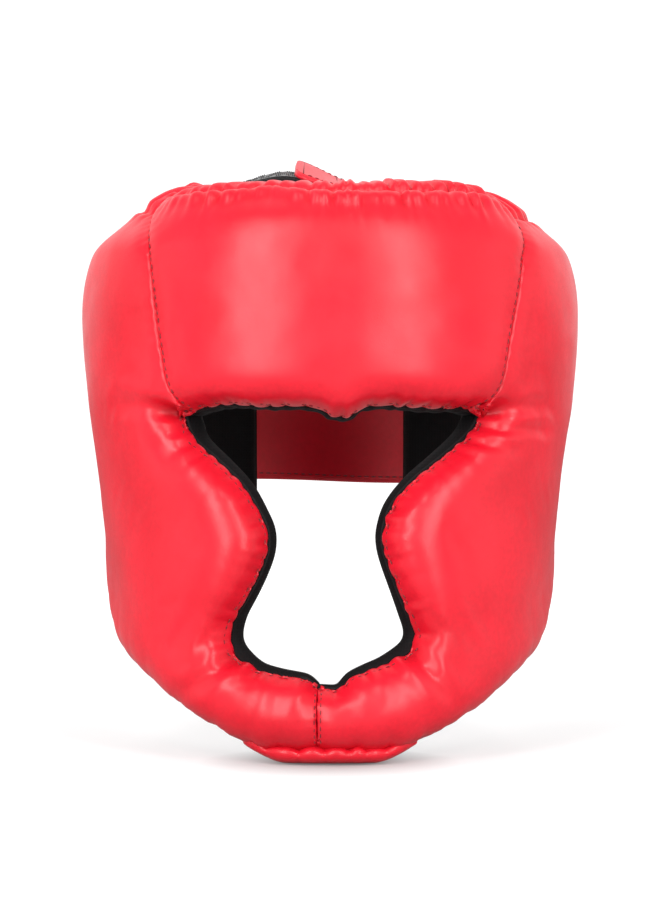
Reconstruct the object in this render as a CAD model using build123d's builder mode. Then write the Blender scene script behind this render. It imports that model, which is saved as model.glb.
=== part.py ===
"""Padded full-face boxing headgear, in millimetres.

+Z is up, -Y is where the wearer looks, and +X is on the wearer's left. The origin is on the ground, midway between
the gear's outermost points in X and in Y.

The padded shell lies between two nested head forms. A place inside it is given by its depth, which is 0 on the outer
leather face and 1 on the lining that touches the head. A place outside it is given by its lift off the leather.
"""

import os
from dataclasses import dataclass
from functools import cache
from math import copysign, cos, pi, sin, sqrt

from build123d import *


@dataclass
class Level:
    """The head form at one height. Sizes are from the vertical axis, and pads are thicknesses."""

    z: float
    half_width: float
    front: float
    rear: float
    side_pad: float
    front_pad: float
    rear_pad: float


LEVELS = [
    Level(-4, 86, 119, 86, 32, 31, 18),
    Level(30, 98, 123.6, 98, 32, 31, 18),
    Level(75, 106, 122, 108, 32, 31, 19),
    Level(120, 110.5, 119, 114, 33, 31, 20),
    Level(165, 117, 119.5, 118.5, 34, 32, 20),
    Level(205, 120, 119.5, 119.1, 35, 32, 20),
    Level(231, 116, 116, 115, 38, 34, 22),
    Level(247, 104, 106, 105, 38, 34, 25),
    Level(256.5, 88, 92, 92, 29, 28, 25),
    Level(262, 72, 77, 79, 14, 15, 15),
]
CROWN_TOP = LEVELS[-1].z
SQUARENESS = 2.3  # superellipse exponent of every level, where 2 would be an ellipse
OUTLINE_POINTS = 24
ROOM = 300  # larger than the gear in every direction
CLEARANCE = 0.3

# Layers through the pads, as depths.
COVER = (0, 0.045)
IMPACT_FOAM = (0.055, 0.58)
COMFORT_FOAM = (0.59, 0.94)
LINING = (0.95, 1)
CROWN_COVER = 3  # leather turned inwards over the top of the foam

# Layers outside the leather at the back, as lifts.
LOOP_PILE = (0.4, 1.6)
HOOK_TAPE = (1.9, 3.1)
STRAP = (3.4, 6.2)
STRAP_ROOT = (0.4, 6.2)

# Face opening, seen from the front: the wearer's left half of a symmetrical outline.
BROW_Z = 158
BROW_END = (58, BROW_Z)
EYE_CORNER = (63, 153.5)
NOSE_GAP = [(46, 131.5), (30, 112), (25.2, 99), (29, 88)]
MOUTH_CORNER = (40, 63)
MOUTH = [(40.5, 51), (28, 41), (0, 35.5)]
FACE_BINDING_INSETS = (0.7, 2.2)
FACE_BINDING_DEPTHS = (0.08, 0.98)

# Seams between the panels.
SEAM_GAP = 2
SEAM_WIDTH = 1.2
SEAM_DEPTHS = (0.004, 0.04)
TEMPLE_TOP = Vector(85, -72, 246)
TEMPLE_BOTTOM = Vector(69, -102, BROW_Z)
TEMPLE_INSIDE = Vector(40, -46, 202)
CHIN_SEAM_X = -5.3
FLEX_Y = 55
FLEX_GAP = 1.5

# Underside, seen from the front and from the side.
JAW = [(24, 0), (40, 7), (56, 14), (71, 23), (83, 32), (95, 42), (104, 53), (112, 75)]
UNDERSIDE = [(-92, 0), (-60, 20), (-39, 38), (0, 66), (38, 94), (62, 114)]
GUSSET_HALF = 42
GUSSET_HEIGHT = 9
GUSSET_FLOOR = 2

# Ear openings, seen from the side.
EAR_Y, EAR_Z = 8, 138
EAR_HALF_WIDTH, EAR_HALF_HEIGHT = 15, 21
EAR_BINDING = 1.6

# Rear wings, and the strap that closes them.
WING_EDGE_X = 45
WING_BOTTOM, WING_TOP_FRONT, WING_TOP_REAR = 118, 252, 234
WING_SHOULDER_Y = 105
STRAP_BOTTOM, STRAP_TOP = 122, 214
STRAP_HINGE_X = -72
STRAP_ROOT_LENGTH = 20
STRAP_END_Y = 66
HOOK_START_X = 56
PATCH_MARGIN = 6

# Crown: a binding round the top opening, and a tab and a strap that arch over it.
BINDING_INSET, BINDING_THICKNESS, BINDING_HEIGHT = 0.8, 1.5, 11
ARCH_RADIUS = 250
ARCH_FOOT = (76, CROWN_TOP + 0.4)
ARCH_HALF_WIDTH = 20
TAB = (0, 1.5)
TAB_ROOT = (-6, 1.5)
TAB_PILE = (1.7, 2.7)
CROWN_HOOKS = (3, 4)
CROWN_STRAP = (4.2, 6.6)
CROWN_STRAP_ROOT = (-6, 6.6)
CROWN_HINGE_X = 62
CROWN_ROOT_END_X = 76
TAB_TIP_X = 14
TAB_PILE_X = (-48, 10)
CROWN_STRAP_TIP_X = -18
CROWN_HOOKS_X = (-13, 12)
LOWER, UPPER = 0, 1


def outline(level, depth, lift):
    """Points round one level of the head form."""
    half_width = level.half_width - depth * level.side_pad + lift
    front = level.front - depth * level.front_pad + lift
    rear = level.rear - depth * level.rear_pad + lift
    points = []
    for i in range(OUTLINE_POINTS):
        across, along = sin(2 * pi * i / OUTLINE_POINTS), cos(2 * pi * i / OUTLINE_POINTS)
        reach = front if along > 0 else rear
        x = half_width * copysign(abs(across) ** (2 / SQUARENESS), across)
        y = -reach * copysign(abs(along) ** (2 / SQUARENESS), along)
        points.append((x, y))
    return points


@cache
def head_form(depth=0.0, lift=0.0, top=CROWN_TOP):
    """Everything inside the head form at a depth or a lift, cut level at its top."""
    with BuildPart() as form:
        for level in LEVELS:
            with BuildSketch(Plane.XY.offset(level.z)):
                with BuildLine():
                    Spline(*outline(level, depth, lift), periodic=True)
                make_face()
        loft()
        if top < CROWN_TOP:
            split(bisect_by=Plane.XY.offset(top), keep=Keep.BOTTOM)
    return form.part


def half_outline(inset):
    """Points down the wearer's left side of the face opening, moved inwards."""
    points = [Vector(p) for p in (BROW_END, EYE_CORNER, *NOSE_GAP, MOUTH_CORNER, *MOUTH)]
    before = [Vector(0, BROW_Z), *points[:-1]]
    after = [*points[1:], Vector(-points[-2].X, points[-2].Y)]
    moves = [(a - b).rotate(Axis.Z, -90).normalized() * inset for b, a in zip(before, after)]
    return [point + move for point, move in zip(points, moves)]


def face_opening(inset=0.0):
    """What the face opening removes, smaller all round by an inset."""
    points = half_outline(inset)
    corner = len(points) - len(MOUTH)
    with BuildPart() as tool:
        with BuildSketch(Plane.XZ):
            with BuildLine():
                Line((0, points[0].Y), points[0])
                Spline(*points[:2], tangents=[(1, 0), (-0.6, -1)])
                Spline(*points[1:corner], tangents=[(-0.6, -1), (0.35, -1)])
                Spline(*points[corner - 1 :], tangents=[(0.35, -1), (-1, 0)])
                Line(points[-1], (0, points[0].Y))
            make_face()
            mirror(about=Plane.YZ)
        extrude(amount=ROOM)
    return tool.part


def ear_openings(margin=0.0):
    """What the two ear openings remove, smaller all round by a margin."""
    with BuildPart() as tool:
        with BuildSketch(Plane.YZ):
            with Locations((EAR_Y, EAR_Z)):
                Ellipse(EAR_HALF_WIDTH - margin, EAR_HALF_HEIGHT - margin)
        extrude(amount=ROOM, both=True)
    return tool.part


@cache
def above_underside():
    """Everything above the jaw line and the underside."""
    with BuildPart() as room:
        with BuildSketch(Plane.XZ):
            with BuildLine():
                Polyline((0, ROOM), (0, 0), JAW[0])
                Spline(*JAW)
                Polyline(JAW[-1], (ROOM, JAW[-1][1]), (ROOM, ROOM), (0, ROOM))
            make_face()
            mirror(about=Plane.YZ)
        extrude(amount=ROOM, both=True)
        with BuildSketch(Plane.YZ):
            with BuildLine():
                Polyline((-ROOM, ROOM), (-ROOM, 0), UNDERSIDE[0])
                Spline(*UNDERSIDE)
                Polyline(UNDERSIDE[-1], (ROOM, UNDERSIDE[-1][1]), (ROOM, ROOM), (-ROOM, ROOM))
            make_face()
        extrude(amount=ROOM, both=True, mode=Mode.INTERSECT)
    return room.part


def box_between(low, high):
    """A box from its lowest to its highest corner."""
    with BuildPart() as box:
        with Locations(low):
            Box(*(h - l for l, h in zip(low, high)), align=(Align.MIN,) * 3)
    return box.part


def chin_room(height):
    """The bottom of the chin, up to a height, where the gusset goes."""
    half = GUSSET_HALF + CLEARANCE
    return box_between((-half, -ROOM, -ROOM), (half, ROOM, height + CLEARANCE))


def temple_plane(side, shift=0.0):
    """The plane of a temple seam, facing away from the forehead and shifted that way."""
    corners = (TEMPLE_TOP, TEMPLE_BOTTOM, TEMPLE_INSIDE)
    top, bottom, inside = (Vector(side * p.X, p.Y, p.Z) for p in corners)
    normal = (bottom - top).cross(inside - top).normalized() * side
    return Plane(origin=top + normal * shift, z_dir=normal)


def forehead_room(shift):
    """The room of the forehead panel, larger by a shift at its seams."""
    with BuildPart() as room:
        add(box_between((-ROOM, -ROOM, BROW_Z - shift), (ROOM, 0, ROOM)))
        for side in (-1, 1):
            split(bisect_by=temple_plane(side, shift), keep=Keep.BOTTOM)
        add(face_opening(), mode=Mode.SUBTRACT)
    return room.part


def side_room(side):
    """The room of a side panel: past the ear and the cheek, from the flex seam to the chin."""
    with BuildPart() as room:
        add(above_underside())
        split(bisect_by=Plane.XZ.offset(FLEX_GAP / 2 - FLEX_Y), keep=Keep.TOP)
        chin_edge = Plane.YZ.offset(CHIN_SEAM_X + side * SEAM_GAP / 2)
        split(bisect_by=chin_edge, keep=Keep.TOP if side > 0 else Keep.BOTTOM)
        add(forehead_room(SEAM_GAP / 2), mode=Mode.SUBTRACT)
        add(face_opening(), mode=Mode.SUBTRACT)
        add(ear_openings(), mode=Mode.SUBTRACT)
        add(chin_room(GUSSET_FLOOR), mode=Mode.SUBTRACT)
    return room.part


def wing_room(side):
    """The room of a rear wing, from the flex seam to its edge at the back."""
    with BuildPart() as room:
        with BuildSketch(Plane.YZ.offset(side * WING_EDGE_X)):
            with BuildLine():
                Polyline(
                    (FLEX_Y + FLEX_GAP / 2, WING_BOTTOM),
                    (ROOM, WING_BOTTOM),
                    (ROOM, WING_TOP_REAR),
                    (WING_SHOULDER_Y, WING_TOP_REAR),
                    (FLEX_Y + FLEX_GAP / 2, WING_TOP_FRONT),
                    close=True,
                )
            make_face()
        extrude(amount=side * ROOM)
    return room.part


def finished(builder, label):
    """The piece a builder holds, with its name."""
    builder.part.label = label
    return builder.part


def cover(name, room):
    """A panel's leather: its outer skin, turned inwards over the top of the foam."""
    with BuildPart() as piece:
        add(room)
        add(head_form(), mode=Mode.INTERSECT)
        add(head_form(COVER[1], top=CROWN_TOP - CROWN_COVER), mode=Mode.SUBTRACT)
        add(head_form(LINING[1]), mode=Mode.SUBTRACT)
        add(chin_room(GUSSET_HEIGHT), mode=Mode.SUBTRACT)
    return finished(piece, name + "_cover")


def layer(label, room, depths):
    """One layer of a panel under its leather, between two depths."""
    with BuildPart() as piece:
        add(room)
        add(head_form(depths[0], top=CROWN_TOP - CROWN_COVER - CLEARANCE), mode=Mode.INTERSECT)
        add(head_form(depths[1]), mode=Mode.SUBTRACT)
    return finished(piece, label)


def panel(name, room):
    """The four layers of a padded panel."""
    return [
        cover(name, room),
        layer(name + "_impact_foam", room, IMPACT_FOAM),
        layer(name + "_comfort_foam", room, COMFORT_FOAM),
        layer(name + "_lining", room, LINING),
    ]


def temple_seam(label, side):
    """The raised, stitched line between the forehead and one side panel."""
    with BuildPart() as seam:
        with Locations(temple_plane(side)):
            Box(ROOM, ROOM, SEAM_WIDTH)
        add(box_between((-ROOM, -ROOM, BROW_Z + SEAM_GAP), (ROOM, -1, ROOM)), mode=Mode.INTERSECT)
        split(bisect_by=Plane.YZ, keep=Keep.TOP if side > 0 else Keep.BOTTOM)
        add(head_form(SEAM_DEPTHS[0], top=CROWN_TOP - CROWN_COVER), mode=Mode.INTERSECT)
        add(head_form(SEAM_DEPTHS[1]), mode=Mode.SUBTRACT)
    return finished(seam, label)


def chin_seam():
    """The stitched line at the chin, between the two side panels."""
    low = (CHIN_SEAM_X - SEAM_WIDTH / 2, -ROOM, GUSSET_HEIGHT + 2 * CLEARANCE)
    high = (CHIN_SEAM_X + SEAM_WIDTH / 2, 0, BROW_Z / 2)
    with BuildPart() as seam:
        add(box_between(low, high))
        add(face_opening(), mode=Mode.SUBTRACT)
        add(head_form(SEAM_DEPTHS[0]), mode=Mode.INTERSECT)
        add(head_form(SEAM_DEPTHS[1]), mode=Mode.SUBTRACT)
    return finished(seam, "chin_seam")


def chin_gusset():
    """The leather strip under the chin, with a lip up its front. The gear stands on it."""
    with BuildPart() as gusset:
        add(box_between((-GUSSET_HALF, -ROOM, 0), (GUSSET_HALF, 0, GUSSET_HEIGHT)))
        add(above_underside(), mode=Mode.INTERSECT)
        add(head_form(), mode=Mode.INTERSECT)
        with BuildPart(mode=Mode.PRIVATE) as inside:
            add(head_form(COVER[1]))
            split(bisect_by=Plane.XY.offset(GUSSET_FLOOR), keep=Keep.TOP)
        add(inside.part, mode=Mode.SUBTRACT)
        add(head_form(LINING[1]), mode=Mode.SUBTRACT)
    return finished(gusset, "chin_gusset")


def face_binding():
    """The soft black edge round the face opening."""
    with BuildPart() as binding:
        add(head_form(FACE_BINDING_DEPTHS[0]))
        add(head_form(FACE_BINDING_DEPTHS[1]), mode=Mode.SUBTRACT)
        add(face_opening(FACE_BINDING_INSETS[0]), mode=Mode.INTERSECT)
        add(face_opening(FACE_BINDING_INSETS[1]), mode=Mode.SUBTRACT)
    return finished(binding, "face_opening_binding")


def ear_binding(label, side):
    """The sleeve that finishes one ear opening through the pad."""
    with BuildPart() as binding:
        add(ear_openings(CLEARANCE))
        add(ear_openings(CLEARANCE + EAR_BINDING), mode=Mode.SUBTRACT)
        split(bisect_by=Plane.YZ, keep=Keep.TOP if side > 0 else Keep.BOTTOM)
        add(head_form(), mode=Mode.INTERSECT)
        add(head_form(LINING[1]), mode=Mode.SUBTRACT)
    return finished(binding, label)


def crown_binding():
    """The tape along the edge of the top opening, from one flex seam round the front to the other."""
    edges = []
    with BuildPart() as binding:
        with BuildSketch(Plane.XY.offset(CROWN_TOP - BINDING_HEIGHT)):
            for inset in (BINDING_INSET, BINDING_INSET + BINDING_THICKNESS):
                with BuildLine():
                    edges.append(Spline(*outline(LEVELS[-1], LINING[1], -inset), periodic=True))
                make_face(mode=Mode.ADD if inset == BINDING_INSET else Mode.SUBTRACT)
        extrude(amount=BINDING_HEIGHT)
        split(bisect_by=Plane.XZ.offset(FLEX_GAP / 2 - FLEX_Y), keep=Keep.TOP)
    return finished(binding, "crown_binding")


def rear_layer(label, lifts, low, high):
    """A piece of the rear closure: what lies between two lifts inside a box."""
    with BuildPart() as piece:
        add(box_between(low, high))
        add(head_form(lift=lifts[1]), mode=Mode.INTERSECT)
        add(head_form(lift=lifts[0]), mode=Mode.SUBTRACT)
    return finished(piece, label)


def rear_closure():
    """The strap across the back, its sewn root, and the hook tape and loop pile at its free end."""
    bottom, top = STRAP_BOTTOM, STRAP_TOP
    patch_low, patch_high = bottom + PATCH_MARGIN, top - PATCH_MARGIN
    patch_y = STRAP_END_Y + PATCH_MARGIN
    root_x = STRAP_HINGE_X - STRAP_ROOT_LENGTH
    return [
        rear_layer("rear_strap", STRAP, (STRAP_HINGE_X, STRAP_END_Y, bottom), (ROOM, ROOM, top)),
        rear_layer(
            "rear_strap_root", STRAP_ROOT, (root_x, 0, bottom), (STRAP_HINGE_X - CLEARANCE * 2, ROOM, top)
        ),
        rear_layer(
            "rear_hook_tape", HOOK_TAPE, (HOOK_START_X, patch_y, patch_low), (ROOM, ROOM, patch_high)
        ),
        rear_layer(
            "rear_loop_pile", LOOP_PILE, (WING_EDGE_X + 2, FLEX_Y + 5, patch_low), (ROOM, ROOM, patch_high)
        ),
    ]


def arch(label, lifts, ends):
    """A band over the top opening, between two lifts off the arch and two places in X."""
    centre_z = ARCH_FOOT[1] - sqrt(ARCH_RADIUS**2 - ARCH_FOOT[0] ** 2)
    low, high = sorted(ends)
    with BuildPart() as band:
        with BuildSketch(Plane.XZ):
            with Locations((0, centre_z)):
                Circle(ARCH_RADIUS + lifts[UPPER])
                Circle(ARCH_RADIUS + lifts[LOWER], mode=Mode.SUBTRACT)
            with Locations((low, CROWN_TOP + CLEARANCE)):
                Rectangle(high - low, ROOM, align=(Align.MIN, Align.MIN), mode=Mode.INTERSECT)
        extrude(amount=ARCH_HALF_WIDTH, both=True)
    return finished(band, label)


def crown_closure():
    """The tab from the wearer's right, and the strap from the left that fastens over it."""
    gap = 2 * CLEARANCE
    return [
        arch("crown_tab", TAB, (-CROWN_HINGE_X, TAB_TIP_X)),
        arch("crown_tab_root", TAB_ROOT, (-CROWN_ROOT_END_X, -CROWN_HINGE_X - gap)),
        arch("crown_loop_pile", TAB_PILE, TAB_PILE_X),
        arch("crown_hook_tape", CROWN_HOOKS, CROWN_HOOKS_X),
        arch("crown_strap", CROWN_STRAP, (CROWN_STRAP_TIP_X, CROWN_HINGE_X)),
        arch("crown_strap_root", CROWN_STRAP_ROOT, (CROWN_HINGE_X + gap, CROWN_ROOT_END_X)),
    ]


def write(pieces):
    """One STEP file per piece, named by its label."""
    os.makedirs("parts", exist_ok=True)
    for piece in pieces:
        export_step(piece, f"parts/{piece.label}.step")


pieces = panel("forehead", forehead_room(-SEAM_GAP / 2))
for name, side in (("left", 1), ("right", -1)):
    pieces += panel(name + "_side", side_room(side))
    pieces += panel(name + "_wing", wing_room(side))
    pieces.append(temple_seam(name + "_temple_seam", side))
    pieces.append(ear_binding(name + "_ear_binding", side))
pieces += [chin_seam(), chin_gusset(), face_binding(), crown_binding()]
pieces += rear_closure() + crown_closure()
write(pieces)
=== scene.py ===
"""Looks of the padded boxing headgear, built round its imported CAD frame. Metres outside, millimetres inside.

+Z is up, -Y is where the wearer looks, +X is on the wearer's left.
A place on the head form has an angle (0 at the front, positive towards the wearer's left), a height and
a depth through the pad (0 on the outer leather, 1 on the lining that touches the head).
"""

from math import cos, pi, radians, sin

import bmesh
import bpy
import numpy as np
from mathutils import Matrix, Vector, geometry, noise
from mathutils.bvhtree import BVHTree


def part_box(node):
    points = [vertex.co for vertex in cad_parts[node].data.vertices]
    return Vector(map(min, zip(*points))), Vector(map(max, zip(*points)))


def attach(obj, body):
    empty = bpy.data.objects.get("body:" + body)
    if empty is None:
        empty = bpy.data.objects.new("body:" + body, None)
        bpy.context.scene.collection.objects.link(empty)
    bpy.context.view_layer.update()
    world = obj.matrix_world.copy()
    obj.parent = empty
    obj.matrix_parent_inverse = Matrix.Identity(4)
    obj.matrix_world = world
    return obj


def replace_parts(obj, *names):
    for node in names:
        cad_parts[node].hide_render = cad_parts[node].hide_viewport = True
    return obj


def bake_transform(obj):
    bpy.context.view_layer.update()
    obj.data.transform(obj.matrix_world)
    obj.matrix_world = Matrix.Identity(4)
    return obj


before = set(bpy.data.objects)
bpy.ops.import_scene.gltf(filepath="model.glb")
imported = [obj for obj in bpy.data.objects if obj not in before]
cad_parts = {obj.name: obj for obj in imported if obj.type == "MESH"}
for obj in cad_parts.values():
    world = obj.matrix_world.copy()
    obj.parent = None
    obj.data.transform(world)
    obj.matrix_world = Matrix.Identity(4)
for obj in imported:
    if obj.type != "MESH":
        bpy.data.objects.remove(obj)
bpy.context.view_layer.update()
MM = 0.001
rng = np.random.default_rng(7)
SIDES = ((1, "left"), (-1, "right"))
SHELL = "face_shell"
PER_METRE = 1000  # a texture scale of this repeats once a millimetre
WAVE_SCALE = 0.1592  # the Wave texture repeats this much slower than its scale says


def lengths(line):
    """How far along a line each of its points is."""
    return np.concatenate([[0], np.cumsum(np.linalg.norm(np.diff(line, axis=0), axis=1))])


def unit(vectors):
    """The same directions with a length of 1."""
    return vectors / np.maximum(np.linalg.norm(vectors, axis=1, keepdims=True), 1e-9)


def places(mesh):
    """A mesh's vertices, in metres."""
    flat = np.zeros(len(mesh.vertices) * 3)
    mesh.vertices.foreach_get("co", flat)
    return flat.reshape(-1, 3)


def own(piece, body, slot, *nodes):
    """Gives a piece its body, material and CAD nodes. With no body, it is left without a parent."""
    if body:
        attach(piece, body)
    if nodes:
        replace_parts(piece, *nodes)
    piece.data.materials.clear()
    piece.data.materials.append(LOOKS[slot])
    return piece


# ---------------------------------------------------------------- materials
class Nodes:
    """A material's node tree, built by name. Sizes are in millimetres."""

    def __init__(self, name):
        self.material = bpy.data.materials.new(name)
        self.material.use_nodes = True
        self.tree = self.material.node_tree
        self.shader = self.tree.nodes["Principled BSDF"]
        self.coords = self.node("ShaderNodeTexCoord").outputs["Object"]

    def node(self, kind, inputs=(), **props):
        made = self.tree.nodes.new(kind)
        for key, value in props.items():
            setattr(made, key, value)
        for key, value in dict(inputs).items():
            self.put(made.inputs[key], value)
        return made

    def put(self, socket, value):
        if hasattr(value, "links"):
            self.tree.links.new(value, socket)
        elif isinstance(value, tuple) and len(value) == 3:
            socket.default_value = (*value, 1) if len(socket.default_value) == 4 else value
        else:
            socket.default_value = value

    def noise(self, mm, detail=3.0):
        inputs = {"Vector": self.coords, "Scale": PER_METRE / mm, "Detail": detail, "Roughness": 0.55}
        return self.node("ShaderNodeTexNoise", inputs).outputs["Fac"]

    def cells(self, mm, feature="DISTANCE_TO_EDGE"):
        inputs = {"Vector": self.coords, "Scale": PER_METRE / mm}
        return self.node("ShaderNodeTexVoronoi", inputs, feature=feature).outputs["Distance"]

    def wave(self, mm, direction, distortion):
        inputs = {"Vector": self.coords, "Scale": PER_METRE / mm * WAVE_SCALE, "Distortion": distortion}
        return self.node("ShaderNodeTexWave", inputs, bands_direction=direction).outputs["Fac"]

    def math(self, operation, a, b=0.0, clamp=False):
        return self.node("ShaderNodeMath", {0: a, 1: b}, operation=operation, use_clamp=clamp).outputs[0]

    def remap(self, value, low, high, to_low, to_high):
        inputs = {"Value": value, "From Min": low, "From Max": high, "To Min": to_low, "To Max": to_high}
        return self.node("ShaderNodeMapRange", inputs).outputs["Result"]

    def mix(self, factor, a, b):
        made = self.node("ShaderNodeMix", {"Factor": factor}, data_type="RGBA")
        self.put(made.inputs[6], a)
        self.put(made.inputs[7], b)
        return made.outputs[2]

    def bump(self, height, mm, strength, normal=None):
        inputs = {"Height": height, "Distance": mm * MM, "Strength": strength}
        if normal:
            inputs["Normal"] = normal
        return self.node("ShaderNodeBump", inputs).outputs["Normal"]

    def worn(self, low=0.52, high=0.60):
        """0 on flats and hollows, 1 on sharp raised edges."""
        return self.remap(self.node("ShaderNodeNewGeometry").outputs["Pointiness"], low, high, 0, 1)

    def finish(self, **inputs):
        for key, value in inputs.items():
            self.put(self.shader.inputs[key.replace("_", " ")], value)
        return self.material


def red_leather():
    """Smooth grained synthetic leather with a soft shine, worn on its folds, and with shade painted into its
    creases.
    """
    m = Nodes("red_leather")
    broad = m.remap(m.noise(46), 0.35, 0.65, 0, 1)
    tone = m.mix(broad, (0.68, 0.005, 0.019), (0.80, 0.009, 0.027))
    specks = m.remap(m.noise(2.2, 4), 0.3, 0.7, 0, 0.25)
    tone = m.mix(specks, tone, (0.42, 0.003, 0.008))
    # painted shade: the colour goes darker where the surface is hollow, in creases and folds, standing in for
    # the shade that falls there
    painted_crease_shade = m.remap(m.node("ShaderNodeNewGeometry").outputs["Pointiness"], 0.40, 0.495, 0.55, 0)
    tone = m.mix(painted_crease_shade, tone, (0.22, 0.002, 0.004))
    scuffs = m.math("MULTIPLY", m.worn(0.53, 0.62), m.remap(m.noise(5), 0.42, 0.62, 0, 0.5))
    tone = m.mix(scuffs, tone, (0.80, 0.07, 0.09))
    grain = m.cells(0.95)
    pores = m.noise(0.35, 2)
    normal = m.bump(m.noise(7, 4), 0.5, 0.10)
    normal = m.bump(grain, 0.10, 0.35, normal)
    normal = m.bump(pores, 0.05, 0.25, normal)
    rough = m.math("ADD", m.remap(m.noise(16), 0.3, 0.7, 0.31, 0.39), m.remap(grain, 0, 0.12, 0.07, 0))
    rough = m.math("ADD", rough, m.math("MULTIPLY", scuffs, 0.2))
    return m.finish(
        Base_Color=tone, Roughness=rough, Normal=normal, Specular_IOR_Level=0.42,
        Coat_Weight=0.10, Coat_Roughness=0.30, Coat_Normal=normal,
    )


def woven(name, colour, pitch, sheen, rough):
    """Plain woven cloth whose threads are pitch millimetres apart."""
    m = Nodes(name)
    over, across = m.wave(pitch, "X", 0.6), m.wave(pitch, "Z", 0.6)
    weave = m.math("MAXIMUM", over, across)
    shade = m.remap(m.noise(18), 0.3, 0.7, 0.7, 1.35)
    dark = tuple(c * 0.55 for c in colour)
    tone = m.mix(m.math("MULTIPLY", weave, shade, True), dark, colour)
    tone = m.mix(m.math("MULTIPLY", m.worn(), 0.5), tone, tuple(c * 2.2 + 0.01 for c in colour))
    normal = m.bump(m.noise(6), 0.4, 0.15)
    normal = m.bump(weave, pitch * 0.25, 0.5, normal)
    rough = m.remap(m.noise(9), 0.3, 0.7, rough - 0.06, rough + 0.08)
    return m.finish(
        Base_Color=tone, Roughness=rough, Normal=normal, Specular_IOR_Level=0.22,
        Sheen_Weight=sheen, Sheen_Roughness=0.4,
    )


def twisted_thread():
    """Dark red thread of two twisted strands."""
    m = Nodes("seam_thread")
    twist = m.wave(0.55, "DIAGONAL", 0.4)
    tone = m.mix(twist, (0.16, 0.002, 0.005), (0.34, 0.006, 0.013))
    tone = m.mix(m.remap(m.noise(8), 0.35, 0.65, 0, 0.4), tone, (0.06, 0.002, 0.003))
    rough = m.remap(m.noise(1.5), 0.3, 0.7, 0.5, 0.75)
    return m.finish(Base_Color=tone, Roughness=rough, Normal=m.bump(twist, 0.12, 0.6), Sheen_Weight=0.2)


def tape(name, colour, rough, sheen, cell):
    """Hook and loop tape: a knitted ground under its hooks or loops."""
    m = Nodes(name)
    knit = m.cells(cell, "F1")
    tone = m.mix(m.remap(knit, 0, 0.5, 0, 1), tuple(c * 2.0 for c in colour), colour)
    tone = m.mix(m.remap(m.noise(12), 0.35, 0.65, 0, 0.5), tone, tuple(c * 0.5 for c in colour))
    normal = m.bump(m.noise(0.5, 3), 0.15, 0.6)
    normal = m.bump(knit, 0.3, 0.5, normal)
    rough = m.remap(m.noise(3), 0.3, 0.7, rough - 0.1, rough + 0.1)
    return m.finish(
        Base_Color=tone, Roughness=rough, Normal=normal, Specular_IOR_Level=0.4,
        Sheen_Weight=sheen, Sheen_Roughness=0.5,
    )


LOOKS = {
    "red_leather": red_leather(),
    "black_lining": woven("black_lining", (0.0045, 0.0035, 0.004), 0.7, 0.02, 0.82),
    "black_binding": woven("black_binding", (0.0065, 0.0055, 0.006), 1.1, 0.02, 0.66),
    "seam_thread": twisted_thread(),
    "loop_pile": tape("loop_pile", (0.016, 0.015, 0.016), 0.85, 0.35, 1.3),
    "hook_tape": tape("hook_tape", (0.012, 0.012, 0.013), 0.5, 0.05, 1.6),
}


# ---------------------------------------------------------------- head form
# z, half width, front, rear, side pad, front pad, rear pad
LEVELS = np.array([
    (-4, 86, 119, 86, 32, 31, 18),
    (30, 98, 123.6, 98, 32, 31, 18),
    (75, 106, 122, 108, 32, 31, 19),
    (120, 110.5, 119, 114, 33, 31, 20),
    (165, 117, 119.5, 118.5, 34, 32, 20),
    (205, 120, 119.5, 119.1, 35, 32, 20),
    (231, 116, 116, 115, 38, 34, 22),
    (247, 104, 106, 105, 38, 34, 25),
    (256.5, 88, 92, 92, 29, 28, 25),
    (262, 72, 77, 79, 14, 15, 15),
])
SQUARE = 2.3  # exponent of the head form's sections, 2 for an ellipse
TOP = 262.0
R0 = 110.0  # millimetres of the flat pattern per radian round the head
SPACING = 3.0  # between points of a panel, and along its edges
EDGE_SPACING = 2.4


def pchip_table(x, y, fine):
    """Shape-preserving cubic through (x, y), read at fine."""
    h = np.diff(x)
    s = np.diff(y) / h
    m = np.zeros(len(x))
    for i in range(1, len(x) - 1):
        if s[i - 1] * s[i] > 0:
            w1, w2 = 2 * h[i] + h[i - 1], h[i] + 2 * h[i - 1]
            m[i] = (w1 + w2) / (w1 / s[i - 1] + w2 / s[i])
    m[0], m[-1] = s[0], s[-1]
    k = np.clip(np.searchsorted(x, fine, side="right") - 1, 0, len(h) - 1)
    t = (fine - x[k]) / h[k]
    return (
        (2 * t**3 - 3 * t**2 + 1) * y[k] + (t**3 - 2 * t**2 + t) * h[k] * m[k]
        + (3 * t**2 - 2 * t**3) * y[k + 1] + (t**3 - t**2) * h[k] * m[k + 1]
    )


FINE_Z = np.arange(-4, TOP + 0.01, 0.5)
FORM = [pchip_table(LEVELS[:, 0], LEVELS[:, k], FINE_Z) for k in range(1, 7)]
MEAN_R = (FORM[0] + FORM[1]) / 2
FINE_W = np.concatenate([[0], np.cumsum(np.hypot(np.diff(FINE_Z), np.diff(MEAN_R)))])
FINE_W -= np.interp(0, FINE_Z, FINE_W)


def w_of_z(z):
    """Height on the flat pattern of a height on the head."""
    return np.interp(z, FINE_Z, FINE_W)


def z_of_w(w):
    """Height on the head of a height on the flat pattern."""
    return np.interp(w, FINE_W, FINE_Z) + np.maximum(w - FINE_W[-1], 0)


W_TOP = float(w_of_z(TOP))


def radius(phi, z, depth):
    """Distance from the vertical axis. Works on arrays."""
    hw, front, rear, sp, fp, rp = (np.interp(z, FINE_Z, f) for f in FORM)
    a = hw - depth * sp
    b = np.where(np.cos(phi) > 0, front - depth * fp, rear - depth * rp)
    return ((np.abs(np.sin(phi)) / a) ** SQUARE + (np.abs(np.cos(phi)) / b) ** SQUARE) ** (-1 / SQUARE)


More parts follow.
